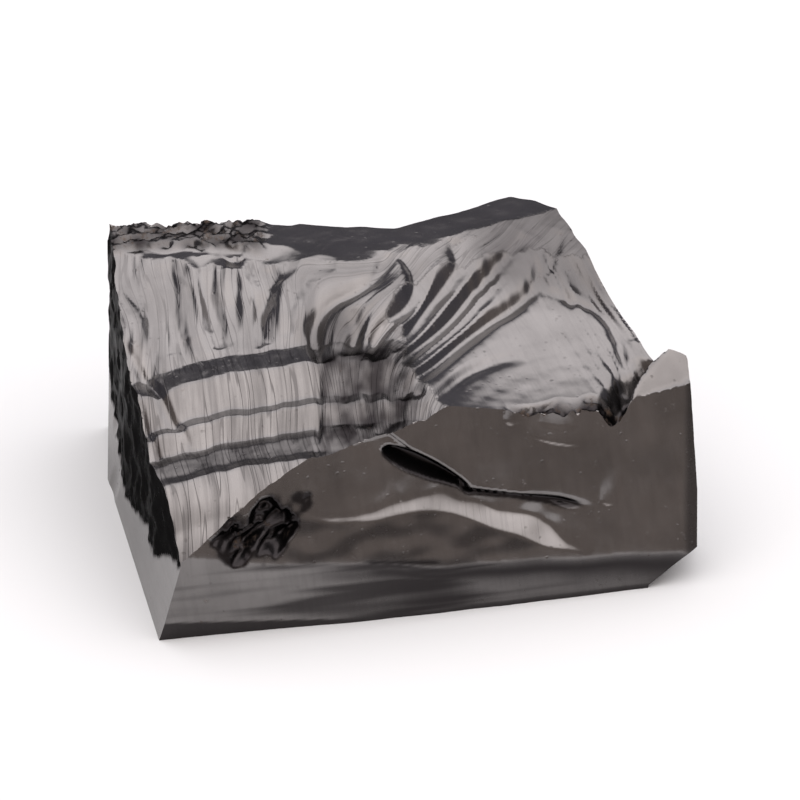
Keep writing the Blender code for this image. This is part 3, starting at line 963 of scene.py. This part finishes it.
def sheet_triangles(points, index):
    """Two triangles for each cell of a sheet, split along the cell's shorter diagonal."""
    a, b, c, d = index[:-1, :-1], index[:-1, 1:], index[1:, 1:], index[1:, :-1]
    place = points.reshape(-1, 3)
    straight = np.linalg.norm(place[a] - place[c], axis=-1) <= np.linalg.norm(place[b] - place[d], axis=-1)
    one = np.where(straight[..., None], np.stack((a, b, c), -1), np.stack((a, b, d), -1))
    two = np.where(straight[..., None], np.stack((a, c, d), -1), np.stack((b, c, d), -1))
    return np.concatenate((one.reshape(-1, 3), two.reshape(-1, 3)))


def linked(made):
    """Puts a new object in the scene, and gives it back."""
    bpy.context.scene.collection.objects.link(made)
    return made


def new_object(name, corners, sides):
    """A new object in the scene, from its corners and its sides."""
    mesh = bpy.data.meshes.new(name)
    mesh.from_pydata(corners, [], sides)
    return linked(bpy.data.objects.new(name, mesh))


def waste_object(name, points, axis, far):
    """A closed block between a sheet of points and a far plane across an axis: the waste outside a
    fracture."""
    rows, columns = points.shape[:2]
    index = np.arange(rows * columns).reshape(rows, columns)
    loop = np.concatenate((index[:-1, 0], index[-1, :-1], index[:0:-1, -1], index[0, :0:-1]))
    outer = points.reshape(-1, 3)[loop].copy()
    outer[:, axis] = far
    outer_index = rows * columns + np.arange(len(loop))
    sheet = sheet_triangles(points, index)
    walls = np.stack((loop, np.roll(loop, -1), np.roll(outer_index, -1), outer_index), -1)
    sheet_looks_down = axis != 1
    if sheet_looks_down != (far > points[..., axis].max()):
        sheet, walls = sheet[:, ::-1], walls[:, ::-1]
        outer_index = outer_index[::-1]
    corners = (np.concatenate((points.reshape(-1, 3), outer)) + CORNER) * MM
    return new_object(name, corners.tolist(), sheet.tolist() + walls.tolist() + [outer_index.tolist()])


def sheet_points(axis, first, second, height):
    """The points of a sheet, with its height along an axis and the two other coordinates in order."""
    parts = [first, second]
    parts.insert(axis, height)
    return np.stack(parts, -1)


# name: (its shape, its finish, the axis of its height, the side of the block that it cuts, its cell in
# millimetres)
SHEETS = {
    "top": (top_sheet, top_finish, 2, 1, 0.10),
    "front": (front_sheet, front_finish, 1, -1, 0.085),
    "right": (right_sheet, right_finish, 0, 1, 0.13),
    "left": (left_sheet, left_finish, 0, -1, 0.15),
    "back": (back_sheet, back_finish, 1, 1, 0.16),
    "bottom": (bottom_sheet, bottom_finish, 2, -1, 0.30),
}

# A sheet is wider than the block by this margin on each side, and its waste reaches this far past the block.
# A sheet's own edges stay smooth up to this many times the sharp angle. A chip with fewer faces wasn't cut.
MARGIN, WASTE_DEPTH, SHARPER_WITHIN, FEWEST_FACES = 1.0, 4.0, 2.4, 1000


def block_object(name):
    """The block before it is cleaved, exactly as large as the solid."""
    low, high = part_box(NODE)
    corners = [(x, y, z) for z in (low.z, high.z) for y in (low.y, high.y) for x in (low.x, high.x)]
    sides = [(0, 2, 3, 1), (4, 5, 7, 6), (0, 1, 5, 4), (2, 6, 7, 3), (0, 4, 6, 2), (1, 3, 7, 5)]
    return new_object(name, corners, sides)


def cleave(chip, name, fineness):
    """Takes one sheet's waste off the chip."""
    sheet, _, axis, side, cell = SHEETS[name]
    others = [k for k in range(3) if k != axis]
    low, high = -MARGIN * np.ones(2), BLOCK[others] + MARGIN
    first, second = grid_of(low, high, cell / fineness)
    height = sheet(first, second)
    if name == "bottom":
        height = np.where(height <= 0.0, -MARGIN, height)
    far = BLOCK[axis] + WASTE_DEPTH if side > 0 else -WASTE_DEPTH
    waste = waste_object("waste_" + name, sheet_points(axis, first, second, height), axis, far)
    cut = chip.modifiers.new(name, "BOOLEAN")
    cut.operation, cut.solver, cut.object = "DIFFERENCE", "MANIFOLD", waste
    return waste


def listed(items, name, width=1, kind=np.float64):
    """One property of every item of a mesh, as an array with a row for each."""
    values = np.empty(len(items) * width, kind)
    items.foreach_get(name, values)
    return values.reshape(-1, width) if width > 1 else values


def drop_crumbs(mesh):
    """Removes loose crumbs that the cuts leave. Every corner starts with its own number, and takes the
    lowest number along its edges until none changes, so each part ends with one number. All but the
    commonest go."""
    first, second = listed(mesh.edges, "vertices", 2, np.int32).T
    part = np.arange(len(mesh.vertices))
    while np.any(part[first] != part[second]):
        lowest = np.minimum(part[first], part[second])
        np.minimum.at(part, first, lowest)
        np.minimum.at(part, second, lowest)
        part = part[part]
    crumbs = np.flatnonzero(part != np.bincount(part).argmax())
    if len(crumbs):
        body = bmesh.new()
        body.from_mesh(mesh)
        body.verts.ensure_lookup_table()
        bmesh.ops.delete(body, geom=[body.verts[k] for k in crumbs.tolist()], context="VERTS")
        body.to_mesh(mesh)
        body.free()


def apply_cuts(chip, wastes):
    """Keeps the chip as the cuts leave it, and removes the waste."""
    graph = bpy.context.evaluated_depsgraph_get()
    cut_mesh = bpy.data.meshes.new_from_object(chip.evaluated_get(graph))
    chip.modifiers.clear()
    old = chip.data
    chip.data = cut_mesh
    cut_mesh.name = chip.name
    drop_crumbs(cut_mesh)
    bpy.data.meshes.remove(old)
    for waste in wastes:
        mesh = waste.data
        bpy.data.objects.remove(waste)
        bpy.data.meshes.remove(mesh)


def finish_attributes(mesh):
    """Marks each face's corners with the grain of the sheet that it was cut by: a UV map in millimetres,
    across and along the streaks, with the strength of the streaks, the grime, and the dullness, which also
    carries painted shade. Returns the sheet of each face, which is the one that passes nearest to its middle."""
    points = listed(mesh.vertices, "co", 3) / MM - CORNER
    middles = listed(mesh.polygons, "center", 3) / MM - CORNER
    totals = listed(mesh.polygons, "loop_total", kind=np.int32)
    corner_vertex = listed(mesh.loops, "vertex_index", kind=np.int32)
    gaps, finishes = [], []
    for sheet, finish, axis, _, _ in SHEETS.values():
        one, two = (k for k in range(3) if k != axis)
        gaps.append(np.abs(sheet(middles[:, one], middles[:, two]) - middles[:, axis]))
        finishes.append(np.stack(finish(points[:, one], points[:, two]), -1))
    face_sheet = np.argmin(gaps, axis=0)
    values = np.stack(finishes)[np.repeat(face_sheet, totals), corner_vertex].astype(np.float32)
    mesh.uv_layers.new(name="grain")
    mesh.uv_layers["grain"].uv.foreach_set("vector", values[:, :2].ravel())
    for name, column in (("streaks", 2), ("grime", 3), ("dullness_and_shade", 4)):
        mesh.attributes.new(name, "FLOAT", "CORNER").data.foreach_set("value", values[:, column].copy())
    return face_sheet


def keep_crisp(mesh, face_sheet, sharp_angle):
    """Keeps an edge crisp where two sheets meet and its faces turn by more than the sharp angle, and
    anywhere where they turn by a good deal more. Each edge has two corners of faces, so the corners in the
    order of their edges come in pairs."""
    totals = listed(mesh.polygons, "loop_total", kind=np.int32)
    normals = listed(mesh.polygons, "normal", 3)
    edges = listed(mesh.loops, "edge_index", kind=np.int32)
    order = np.argsort(edges, kind="stable").reshape(-1, 2)
    faces = np.repeat(np.arange(len(totals)), totals)[order]
    turn = np.einsum("ij,ij->i", *(normals[faces[:, k]] for k in range(2)))
    crisp = (face_sheet[faces[:, 0]] != face_sheet[faces[:, 1]]) & (turn < math.cos(sharp_angle))
    crisp |= turn < math.cos(SHARPER_WITHIN * sharp_angle)
    marks = np.zeros(len(mesh.edges), bool)
    marks[edges[order[:, 0]]] = crisp
    mesh.attributes.new("sharp_edge", "BOOLEAN", "EDGE").data.foreach_set("value", marks)


# ---------------------------------------------------------------- the finish

# Where a Mix node keeps its two colours and its mixed colour.
MIX_FIRST, MIX_SECOND, MIX_RESULT = 6, 7, 2


class NodeMaker:
    """Adds nodes to a tree and links their sockets."""

    def __init__(self, tree):
        self.tree = tree

    def feed(self, socket, value):
        """Links a socket to another that gives its value, or sets it to a plain value."""
        if isinstance(value, bpy.types.NodeSocket):
            self.tree.links.new(value, socket)
        else:
            socket.default_value = value

    def add(self, kind, inputs=None, **settings):
        """A new node with its settings, and with its inputs linked to sockets or set to values."""
        node = self.tree.nodes.new(kind)
        for name, value in settings.items():
            setattr(node, name, value)
        for key, value in (inputs or {}).items():
            self.feed(node.inputs[key], value)
        return node

    def maths(self, operation, first, second=0.0, clamp=False):
        """The result of a Math node."""
        node = self.add("ShaderNodeMath", {0: first, 1: second}, operation=operation, use_clamp=clamp)
        return node.outputs[0]

    def times(self, first, second, clamp=False):
        """The product of two values."""
        return self.maths("MULTIPLY", first, second, clamp)

    def plus(self, first, second, clamp=False):
        """The sum of two values."""
        return self.maths("ADD", first, second, clamp)

    def minus(self, first, second, clamp=False):
        """The first value less the second."""
        return self.maths("SUBTRACT", first, second, clamp)

    def vector(self, operation, first, second):
        """The result of a Vector Math node."""
        return self.add("ShaderNodeVectorMath", {0: first, 1: second}, operation=operation).outputs[0]

    def ramp(self, value, low, high, to_low=0.0, to_high=1.0):
        """The smooth result of a Map Range node."""
        settings = {"Value": value, "From Min": low, "From Max": high, "To Min": to_low, "To Max": to_high}
        return self.add("ShaderNodeMapRange", settings, interpolation_type="SMOOTHSTEP").outputs["Result"]

    def noise(self, vector, scale, detail=2.0, roughness=0.5, distortion=0.0):
        """The value of a Noise Texture."""
        settings = {"Vector": vector, "Scale": scale, "Detail": detail, "Roughness": roughness,
                    "Distortion": distortion}
        return self.add("ShaderNodeTexNoise", settings).outputs["Fac"]

    def mixed(self, share, first, second):
        """A colour mixed from two."""
        node = self.add("ShaderNodeMix", {"Factor": share}, data_type="RGBA")
        self.feed(node.inputs[MIX_FIRST], first)
        self.feed(node.inputs[MIX_SECOND], second)
        return node.outputs[MIX_RESULT]

    def value_of(self, name):
        """The value of an attribute."""
        return self.add("ShaderNodeAttribute", attribute_name=name).outputs["Fac"]

    def shading(self, tree, inputs):
        """A shader node group, with its inputs linked to sockets or set to values."""
        return self.add("ShaderNodeGroup", inputs, node_tree=tree).outputs


def node_group(name, inputs, outputs):
    """A new shader node group with named inputs and outputs, its maker, its input sockets and its output
    node."""
    tree = bpy.data.node_groups.new(name, "ShaderNodeTree")
    for socket_name, kind, value in inputs:
        socket = tree.interface.new_socket(name=socket_name, in_out="INPUT", socket_type=kind)
        if value is not None:
            socket.default_value = value
    for socket_name in outputs:
        tree.interface.new_socket(name=socket_name, in_out="OUTPUT", socket_type="NodeSocketFloat")
    entry, leave = tree.nodes.new("NodeGroupInput"), tree.nodes.new("NodeGroupOutput")
    return tree, NodeMaker(tree), entry.outputs, leave.inputs


# Noises of the finish: their scale, detail, roughness and distortion.
BROAD_STREAKS, FINE_STREAKS, SPLITS = (0.55, 2.0, 0.5, 0.3), (1.6, 3.0, 0.6, 0.2), (0.9, 1.0)
BROAD_SHARE, FINE_SHARE, SPLIT_WIDTH, SPLIT_DEPTH = 0.6, 0.4, 0.035, 0.25
LUSTRE_CLOUDS, CLOUD_EDGES, CLOUD_SHADE = (450.0, 3.0, 0.55), (0.35, 0.7), 0.86
RUST_SPECKS, SMEARS, GRITTY = (2600.0, 3.0), (1500.0, 4.0, 0.6), (5200.0, 3.0, 0.6)

# How a noise picks the few scattered cells that are pits, and how far their middles reach. How a mask lifts
# the noise of the grime, and between which values it sets in.
FEW_PITS, PIT_SHRINK, PIT_CONTRAST = 0.45, 0.25, 14.0
GRIME_DETAIL, GRIME_LIFT, GRIME_EDGES = (5.0, 0.65), 0.45, (0.66, 0.86)

# Dark colours, among them the grazing tint of dull and painted-shade parts, how much a pit and a streak
# darken,
# # and what smears, grime, dullness and pits add to the roughness, which is first lowered by about the mean
# of the smears.
WHITE, DULL_AND_SHADE_EDGE = (1.0, 1.0, 1.0, 1.0), (0.12, 0.12, 0.12, 1.0)
PIT_COLOUR, OLD_GRIME_COLOUR = (0.05, 0.045, 0.042, 1.0), (0.05, 0.04, 0.035, 1.0)
PIT_SHADE, STREAK_EDGES, STREAK_SHADE = 0.25, (0.30, 0.62), 0.30
GRIME_METAL, SMEAR_ROUGH, SMEAR_MEAN, GRIME_ROUGH, DULL_ROUGH, PIT_ROUGH = 0.75, 0.10, 0.04, 0.35, 0.14, 0.3

# Heights of the finest relief, in millimetres.
PIT_DEPTH, SMEAR_HEIGHT, GRIT_HEIGHT = 0.006, 0.0012, 0.03


def fracture_streaks_group():
    """Fine ribs along the grain: a noise stretched along it, with a finer one on top, and sharp splits
    where a third passes its middle."""
    tree, maker, given, result = node_group(
        "Fracture streaks",
        [
            ("Grain", "NodeSocketVector", None),
            ("Spacing", "NodeSocketFloat", 0.3),
            ("Stretch", "NodeSocketFloat", 14.0),
        ],
        ["Height"],
    )
    narrow = maker.maths("DIVIDE", 1.0, given["Spacing"])
    long = maker.maths("DIVIDE", narrow, given["Stretch"])
    scale = maker.add("ShaderNodeCombineXYZ", {"X": narrow, "Y": long, "Z": 1.0}).outputs[0]
    stretched = maker.vector("MULTIPLY", given["Grain"], scale)
    broad = maker.noise(stretched, *BROAD_STREAKS)
    fine = maker.noise(stretched, *FINE_STREAKS)
    splits = maker.maths("ABSOLUTE", maker.minus(maker.noise(stretched, *SPLITS), 0.5))
    splits = maker.ramp(splits, 0.0, SPLIT_WIDTH, 1.0, 0.0)
    height = maker.plus(maker.times(broad, BROAD_SHARE), maker.times(fine, FINE_SHARE))
    maker.feed(result["Height"], maker.minus(height, maker.times(splits, SPLIT_DEPTH)))
    return tree


def pits_group():
    """Small pits and specks scattered over a surface: the inside of scattered cells, few of them deep."""
    tree, maker, given, result = node_group(
        "Pits and specks",
        [
            ("Position", "NodeSocketVector", None),
            ("Size", "NodeSocketFloat", 0.0003),
            ("Amount", "NodeSocketFloat", 0.3),
        ],
        ["Mask"],
    )
    scale = maker.maths("DIVIDE", 1.0, given["Size"])
    inputs = {"Vector": given["Position"], "Scale": scale, "Randomness": 1.0}
    cells = maker.add("ShaderNodeTexVoronoi", inputs, feature="F1")
    few = maker.noise(given["Position"], scale, 1.0)
    reach = maker.times(maker.minus(few, FEW_PITS), given["Amount"])
    inside = maker.minus(reach, maker.times(cells.outputs["Distance"], PIT_SHRINK))
    maker.feed(result["Mask"], maker.times(inside, PIT_CONTRAST, clamp=True))
    return tree


def grime_group():
    """Patchy dirt: a mask broken up by coarse and fine noise."""
    tree, maker, given, result = node_group(
        "Grime",
        [
            ("Position", "NodeSocketVector", None),
            ("Mask", "NodeSocketFloat", 0.0),
            ("Size", "NodeSocketFloat", 0.0006),
        ],
        ["Mask"],
    )
    scale = maker.maths("DIVIDE", 1.0, given["Size"])
    broken = maker.noise(given["Position"], scale, *GRIME_DETAIL)
    reach = maker.plus(broken, maker.times(given["Mask"], GRIME_LIFT))
    maker.feed(result["Mask"], maker.ramp(reach, *GRIME_EDGES))
    return tree


def shungite_material(chip):
    """Silvery black glassy carbon: a dark mirror with fine streaks along its grain, duller where it is
    broken rough, darker where shade is painted on through the same dullness, and rusty grime in its hollows."""
    streaks_tree, pits_tree, grime_tree = fracture_streaks_group(), pits_group(), grime_group()
    material = bpy.data.materials.new("elite_shungite_lustre")
    material.use_nodes = True
    maker = NodeMaker(material.node_tree)
    shader = material.node_tree.nodes["Principled BSDF"].inputs
    lustre_colour, dull_and_shade_colour, grime_colour = (
        (*colour, 1.0) for colour in (chip.lustre_colour, chip.dull_and_shade_colour, chip.grime_colour))
    shaded_lustre = (*(CLOUD_SHADE * c for c in chip.lustre_colour), 1.0)
    position = maker.add("ShaderNodeTexCoord").outputs["Object"]
    grain = maker.add("ShaderNodeUVMap", uv_map="grain").outputs["UV"]
    streak_share = maker.value_of("streaks")
    grime_share = maker.value_of("grime")
    dull_and_shade_share = maker.value_of("dullness_and_shade")

    streaks = maker.shading(streaks_tree, {"Grain": grain, "Spacing": chip.streak_spacing / MM})["Height"]
    pits = maker.shading(pits_tree, {"Position": position, "Amount": chip.pit_amount})["Mask"]
    dirt = maker.shading(grime_tree, {"Position": position, "Mask": grime_share})["Mask"]

    cloudy = maker.ramp(maker.noise(position, *LUSTRE_CLOUDS), *CLOUD_EDGES)
    lustre = maker.mixed(cloudy, lustre_colour, shaded_lustre)
    streaky = maker.times(maker.ramp(streaks, *STREAK_EDGES, STREAK_SHADE, 0.0), streak_share)
    lustre = maker.mixed(streaky, lustre, dull_and_shade_colour)
    # The dullness, which also carries painted shade and painted dark reflections, darkens the lustre and its
    # grazing tint.
    lustre = maker.mixed(dull_and_shade_share, lustre, dull_and_shade_colour)
    maker.feed(shader["Specular Tint"], maker.mixed(dull_and_shade_share, WHITE, DULL_AND_SHADE_EDGE))
    fleck = maker.times(pits, PIT_SHADE)
    darker = maker.mixed(fleck, lustre, PIT_COLOUR)
    rust = maker.mixed(maker.noise(position, *RUST_SPECKS), grime_colour, OLD_GRIME_COLOUR)
    maker.feed(shader["Base Color"], maker.mixed(maker.times(dirt, chip.grime_amount), darker, rust))

    dirty = maker.times(dirt, GRIME_METAL * chip.grime_amount)
    maker.feed(shader["Metallic"], maker.minus(chip.metallic, dirty, clamp=True))
    smear = maker.noise(position, *SMEARS)
    blur = maker.plus(chip.roughness - SMEAR_MEAN, maker.times(smear, SMEAR_ROUGH))
    blur = maker.plus(blur, maker.times(dirt, GRIME_ROUGH))
    blur = maker.plus(blur, maker.times(dull_and_shade_share, DULL_ROUGH))
    blur = maker.plus(blur, maker.times(fleck, PIT_ROUGH), clamp=True)
    maker.feed(shader["Roughness"], blur)

    height = maker.times(streaks, maker.times(streak_share, chip.streak_depth / MM))
    height = maker.minus(height, maker.times(pits, PIT_DEPTH))
    height = maker.plus(height, maker.times(smear, SMEAR_HEIGHT))
    gritty = maker.noise(position, *GRITTY)
    height = maker.plus(height, maker.times(maker.times(gritty, dirt), GRIT_HEIGHT))
    bump = maker.add("ShaderNodeBump", {"Height": height, "Strength": 1.0, "Distance": MM})
    maker.feed(shader["Normal"], bump.outputs["Normal"])
    return material


# ---------------------------------------------------------------- the stage

# The floor's finish. The middle of the lamp's own square, and how far off it the light starts to fade and
# where its edge is. How far in front and behind the room's two tones mix. The camera's sensor in
# millimetres, and its nearest and farthest distance.
FLOOR_ROUGHNESS, FLOOR_SHEEN = 0.9, 0.1
LAMP_MIDDLE, LAMP_FADE = (0.5, 0.5, 0.0), (0.22, 0.5)
ROOM_FADE = (-0.35, 0.35)
SENSOR_WIDTH, SEEN_FROM, SEEN_TO = 36.0, 0.01, 50.0


def aimed(place, target):
    """The turn of a camera at one place that looks at another."""
    return (Vector(target) - Vector(place)).to_track_quat("-Z", "Y")


def add_floor(stage):
    """A plain pale square under the chip."""
    half = stage.floor_size / 2.0
    corners = [(-half, -half, 0.0), (half, -half, 0.0), (half, half, 0.0), (-half, half, 0.0)]
    floor = new_object("floor", corners, [range(len(corners))])
    paint = bpy.data.materials.new("floor_paint")
    paint.use_nodes = True
    shader = paint.node_tree.nodes["Principled BSDF"].inputs
    shader["Base Color"].default_value = (*stage.floor_colour, 1.0)
    shader["Roughness"].default_value = FLOOR_ROUGHNESS
    shader["Specular IOR Level"].default_value = FLOOR_SHEEN
    floor.data.materials.append(paint)


def add_softbox(stage):
    """One large soft light overhead, a little behind the chip, brightest in its middle."""
    lamp = bpy.data.lights.new("softbox", "AREA")
    lamp.shape, lamp.size, lamp.size_y = "RECTANGLE", stage.softbox_width, stage.softbox_depth
    lamp.energy = stage.softbox_brightness * math.pi * stage.softbox_width * stage.softbox_depth
    lamp.color = stage.softbox_colour
    lamp.use_nodes = True
    maker = NodeMaker(lamp.node_tree)
    spot = maker.add("ShaderNodeNewGeometry").outputs["Parametric"]
    centred = maker.vector("SUBTRACT", spot, LAMP_MIDDLE)
    parts = maker.add("ShaderNodeSeparateXYZ", {0: centred}).outputs
    off = maker.maths("MAXIMUM", maker.maths("ABSOLUTE", parts["X"]), maker.maths("ABSOLUTE", parts["Y"]))
    strength = maker.ramp(off, *LAMP_FADE, 1.0, stage.softbox_edge)
    maker.feed(lamp.node_tree.nodes["Emission"].inputs["Strength"], strength)
    softbox = linked(bpy.data.objects.new("softbox", lamp))
    softbox.location = (stage.softbox_right, stage.softbox_back, stage.softbox_height)
    softbox.visible_camera = False


def add_room(stage):
    """The room round the table: warm and dim in front, bluish and dimmer behind, and plain where it shows."""
    world = bpy.data.worlds.new("room")
    bpy.context.scene.world = world
    world.use_nodes = True
    maker = NodeMaker(world.node_tree)
    way = maker.add("ShaderNodeTexCoord").outputs["Generated"]
    parts = maker.add("ShaderNodeSeparateXYZ", {0: way}).outputs
    behind = maker.ramp(parts["Y"], *ROOM_FADE)
    walls = maker.mixed(behind, (*stage.front_colour, 1.0), (*stage.back_colour, 1.0))
    seen = maker.add("ShaderNodeLightPath").outputs["Is Camera Ray"]
    colour = maker.mixed(seen, walls, (*stage.backdrop_colour, 1.0))
    background = world.node_tree.nodes["Background"].inputs
    maker.feed(background["Color"], colour)
    background["Strength"].default_value = 1.0


def add_camera(stage):
    """The camera, in front of the chip and above it."""
    low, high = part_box(NODE)
    target = (low + high) / 2.0 + Vector((0.0, 0.0, stage.aim_lift))
    turn, lift = stage.camera_azimuth, stage.camera_elevation
    back = Vector((math.sin(turn) * math.cos(lift), -math.cos(turn) * math.cos(lift), math.sin(lift)))
    camera = linked(bpy.data.objects.new("camera", bpy.data.cameras.new("camera")))
    camera.rotation_mode = "QUATERNION"
    camera.location = target + back * stage.camera_distance
    camera.rotation_quaternion = aimed(camera.location, target)
    camera.data.sensor_width = SENSOR_WIDTH
    camera.data.lens = SENSOR_WIDTH * stage.camera_distance * stage.chip_share / (high.x - low.x)
    camera.data.clip_start, camera.data.clip_end = SEEN_FROM, SEEN_TO
    bpy.context.scene.camera = camera


# ---------------------------------------------------------------- the add-on


# What the properties of one kind share.
LENGTH = {"subtype": "DISTANCE", "unit": "LENGTH"}
ANGLE = {"subtype": "ANGLE", "unit": "ROTATION"}
COLOUR = {"subtype": "COLOR", "size": 3, "min": 0.0, "max": 1.0}
SHARE = {"subtype": "FACTOR", "min": 0.0, "max": 1.0}


class ShungiteChipSettings(bpy.types.PropertyGroup):
    """Sizes and colours of the chip."""

    fineness: FloatProperty(
        name="Fineness", default=1.0, min=0.25, max=2.0,
        description="How fine the fracture sheets are, as a multiple of their own cells")
    sharp_angle: FloatProperty(
        name="Sharp angle", default=math.radians(32.0), **ANGLE,
        description="Edges between two sheets that turn more than this stay crisp")
    lustre_colour: FloatVectorProperty(
        name="Lustre", default=(0.225, 0.214, 0.211), **COLOUR,
        description="Colour of the light that a clean fracture gives back")
    # This colour also paints shade where the dullness carries it.
    dull_and_shade_colour: FloatVectorProperty(
        name="Dull lustre", default=(0.030, 0.027, 0.028), **COLOUR,
        description="Colour of the light that a dull break gives back")
    grime_colour: FloatVectorProperty(
        name="Grime", default=(0.15, 0.095, 0.06), **COLOUR,
        description="Rusty colour of the dirt in the hollows")
    grime_amount: FloatProperty(
        name="Grime amount", default=0.75, **SHARE,
        description="How much of the lustre the dirt hides")
    metallic: FloatProperty(
        name="Metallic", default=0.96, **SHARE,
        description="How like a metal a clean fracture shines")
    roughness: FloatProperty(
        name="Roughness", default=0.16, **SHARE,
        description="How much a clean fracture blurs what it mirrors")
    streak_spacing: FloatProperty(
        name="Streak spacing", default=0.00030, precision=5, **LENGTH,
        description="Distance between the fine streaks of a fracture")
    streak_depth: FloatProperty(
        name="Streak depth", default=0.000014, precision=6, **LENGTH,
        description="Depth of the fine streaks of a fracture")
    pit_amount: FloatProperty(
        name="Pits", default=0.35, **SHARE,
        description="How many small pits and specks the chip has")


class ShungiteStageSettings(bpy.types.PropertyGroup):
    """Sizes and colours of the stage."""

    floor_size: FloatProperty(
        name="Floor size", default=8.0, **LENGTH,
        description="Side of the square floor")
    floor_colour: FloatVectorProperty(
        name="Floor", default=(0.76, 0.772, 0.78), **COLOUR,
        description="Colour of the floor")
    softbox_width: FloatProperty(
        name="Softbox width", default=1.5, **LENGTH,
        description="Width of the soft light")
    softbox_depth: FloatProperty(
        name="Softbox depth", default=1.3, **LENGTH,
        description="Depth of the soft light")
    softbox_height: FloatProperty(
        name="Softbox height", default=0.5, **LENGTH,
        description="Height of the soft light over the floor")
    softbox_back: FloatProperty(
        name="Softbox back", default=0.08, **LENGTH,
        description="How far behind the chip the soft light's middle is")
    softbox_right: FloatProperty(
        name="Softbox right", default=0.08, **LENGTH,
        description="How far right of the chip the soft light's middle is")
    softbox_brightness: FloatProperty(
        name="Softbox brightness", default=1.95, min=0.0,
        description="Brightness of the soft light's middle")
    softbox_edge: FloatProperty(
        name="Softbox edge", default=0.35, **SHARE,
        description="Brightness at the soft light's edge, as a share of its middle")
    softbox_colour: FloatVectorProperty(
        name="Softbox colour", default=(1.0, 0.97, 0.97), **COLOUR,
        description="Colour of the soft light")
    front_colour: FloatVectorProperty(
        name="Front of the room", default=(0.37, 0.315, 0.29), **COLOUR,
        description="Colour of the room on the camera's side")
    back_colour: FloatVectorProperty(
        name="Back of the room", default=(0.150, 0.147, 0.175), **COLOUR,
        description="Colour of the room behind the chip")
    backdrop_colour: FloatVectorProperty(
        name="Backdrop", default=(0.80, 0.80, 0.80), **COLOUR,
        description="Colour that shows past the floor")
    camera_azimuth: FloatProperty(
        name="Camera azimuth", default=0.0, **ANGLE,
        description="Bearing of the camera from the front")
    camera_elevation: FloatProperty(
        name="Camera elevation", default=math.radians(30.0), **ANGLE,
        description="Angle of the camera above the horizon")
    camera_distance: FloatProperty(
        name="Camera distance", default=0.5, **LENGTH,
        description="Distance from the camera to the chip")
    chip_share: FloatProperty(
        name="Chip in the frame", default=0.74, **SHARE,
        description="Share of the picture's width that the chip takes")
    aim_lift: FloatProperty(
        name="Aim lift", default=0.0005, **LENGTH,
        description="How far above the chip's middle the camera aims")


class SHUNGITE_OT_cleave_chip(bpy.types.Operator):
    """Cleave the chip out of its block, mark its grain and give it its lustre"""

    bl_idname = "shungite.cleave_chip"
    bl_label = "Cleave the chip"

    def execute(self, context):
        """Makes the chip in the place of the plain solid."""
        settings = context.scene.shungite_chip
        chip = block_object("shungite_rough_chip")
        wastes = [cleave(chip, name, settings.fineness) for name in SHEETS]
        apply_cuts(chip, wastes)
        if len(chip.data.polygons) < FEWEST_FACES:
            raise RuntimeError("the fracture sheets didn't cut the block")
        face_sheet = finish_attributes(chip.data)
        chip.data.shade_smooth()
        keep_crisp(chip.data, face_sheet, settings.sharp_angle)
        chip.data.materials.clear()
        chip.data.materials.append(shungite_material(settings))
        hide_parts(NODE)
        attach(chip, "root")
        return {"FINISHED"}


class SHUNGITE_OT_set_stage(bpy.types.Operator):
    """Set the floor, the soft light, the room and the camera"""

    bl_idname = "shungite.set_stage"
    bl_label = "Set the stage"

    def execute(self, context):
        """Makes everything that isn't part of the chip."""
        settings = context.scene.shungite_stage
        add_floor(settings)
        add_softbox(settings)
        add_room(settings)
        add_camera(settings)
        if context.scene.camera is None:
            raise RuntimeError("the stage has no camera")
        context.scene.view_settings.view_transform = "Standard"
        return {"FINISHED"}


class SHUNGITE_PT_sidebar(bpy.types.Panel):
    """Lists the chip, the stage and their settings."""

    bl_idname = "SHUNGITE_PT_sidebar"
    bl_label = "Shungite chip"
    bl_space_type = "VIEW_3D"
    bl_region_type = "UI"
    bl_category = "Shungite"

    def draw(self, context):
        """Draws each operator's button over its settings."""
        groups = (
            (SHUNGITE_OT_cleave_chip, context.scene.shungite_chip),
            (SHUNGITE_OT_set_stage, context.scene.shungite_stage),
        )
        for operator, settings in groups:
            box = self.layout.box()
            box.operator(operator.bl_idname)
            for name in type(settings).__annotations__:
                box.prop(settings, name)


CLASSES = (
    ShungiteChipSettings,
    ShungiteStageSettings,
    SHUNGITE_OT_cleave_chip,
    SHUNGITE_OT_set_stage,
    SHUNGITE_PT_sidebar,
)


def register():
    """Adds the classes and the scene's settings."""
    for kind in CLASSES:
        bpy.utils.register_class(kind)
    bpy.types.Scene.shungite_chip = PointerProperty(type=ShungiteChipSettings)
    bpy.types.Scene.shungite_stage = PointerProperty(type=ShungiteStageSettings)


def unregister():
    """Takes the classes and the scene's settings away."""
    del bpy.types.Scene.shungite_stage
    del bpy.types.Scene.shungite_chip
    for kind in reversed(CLASSES):
        bpy.utils.unregister_class(kind)


def main():
    """Makes the chip, then its stage."""
    register()
    bpy.ops.shungite.cleave_chip()
    bpy.ops.shungite.set_stage()


if __name__ == "__main__":
    main()
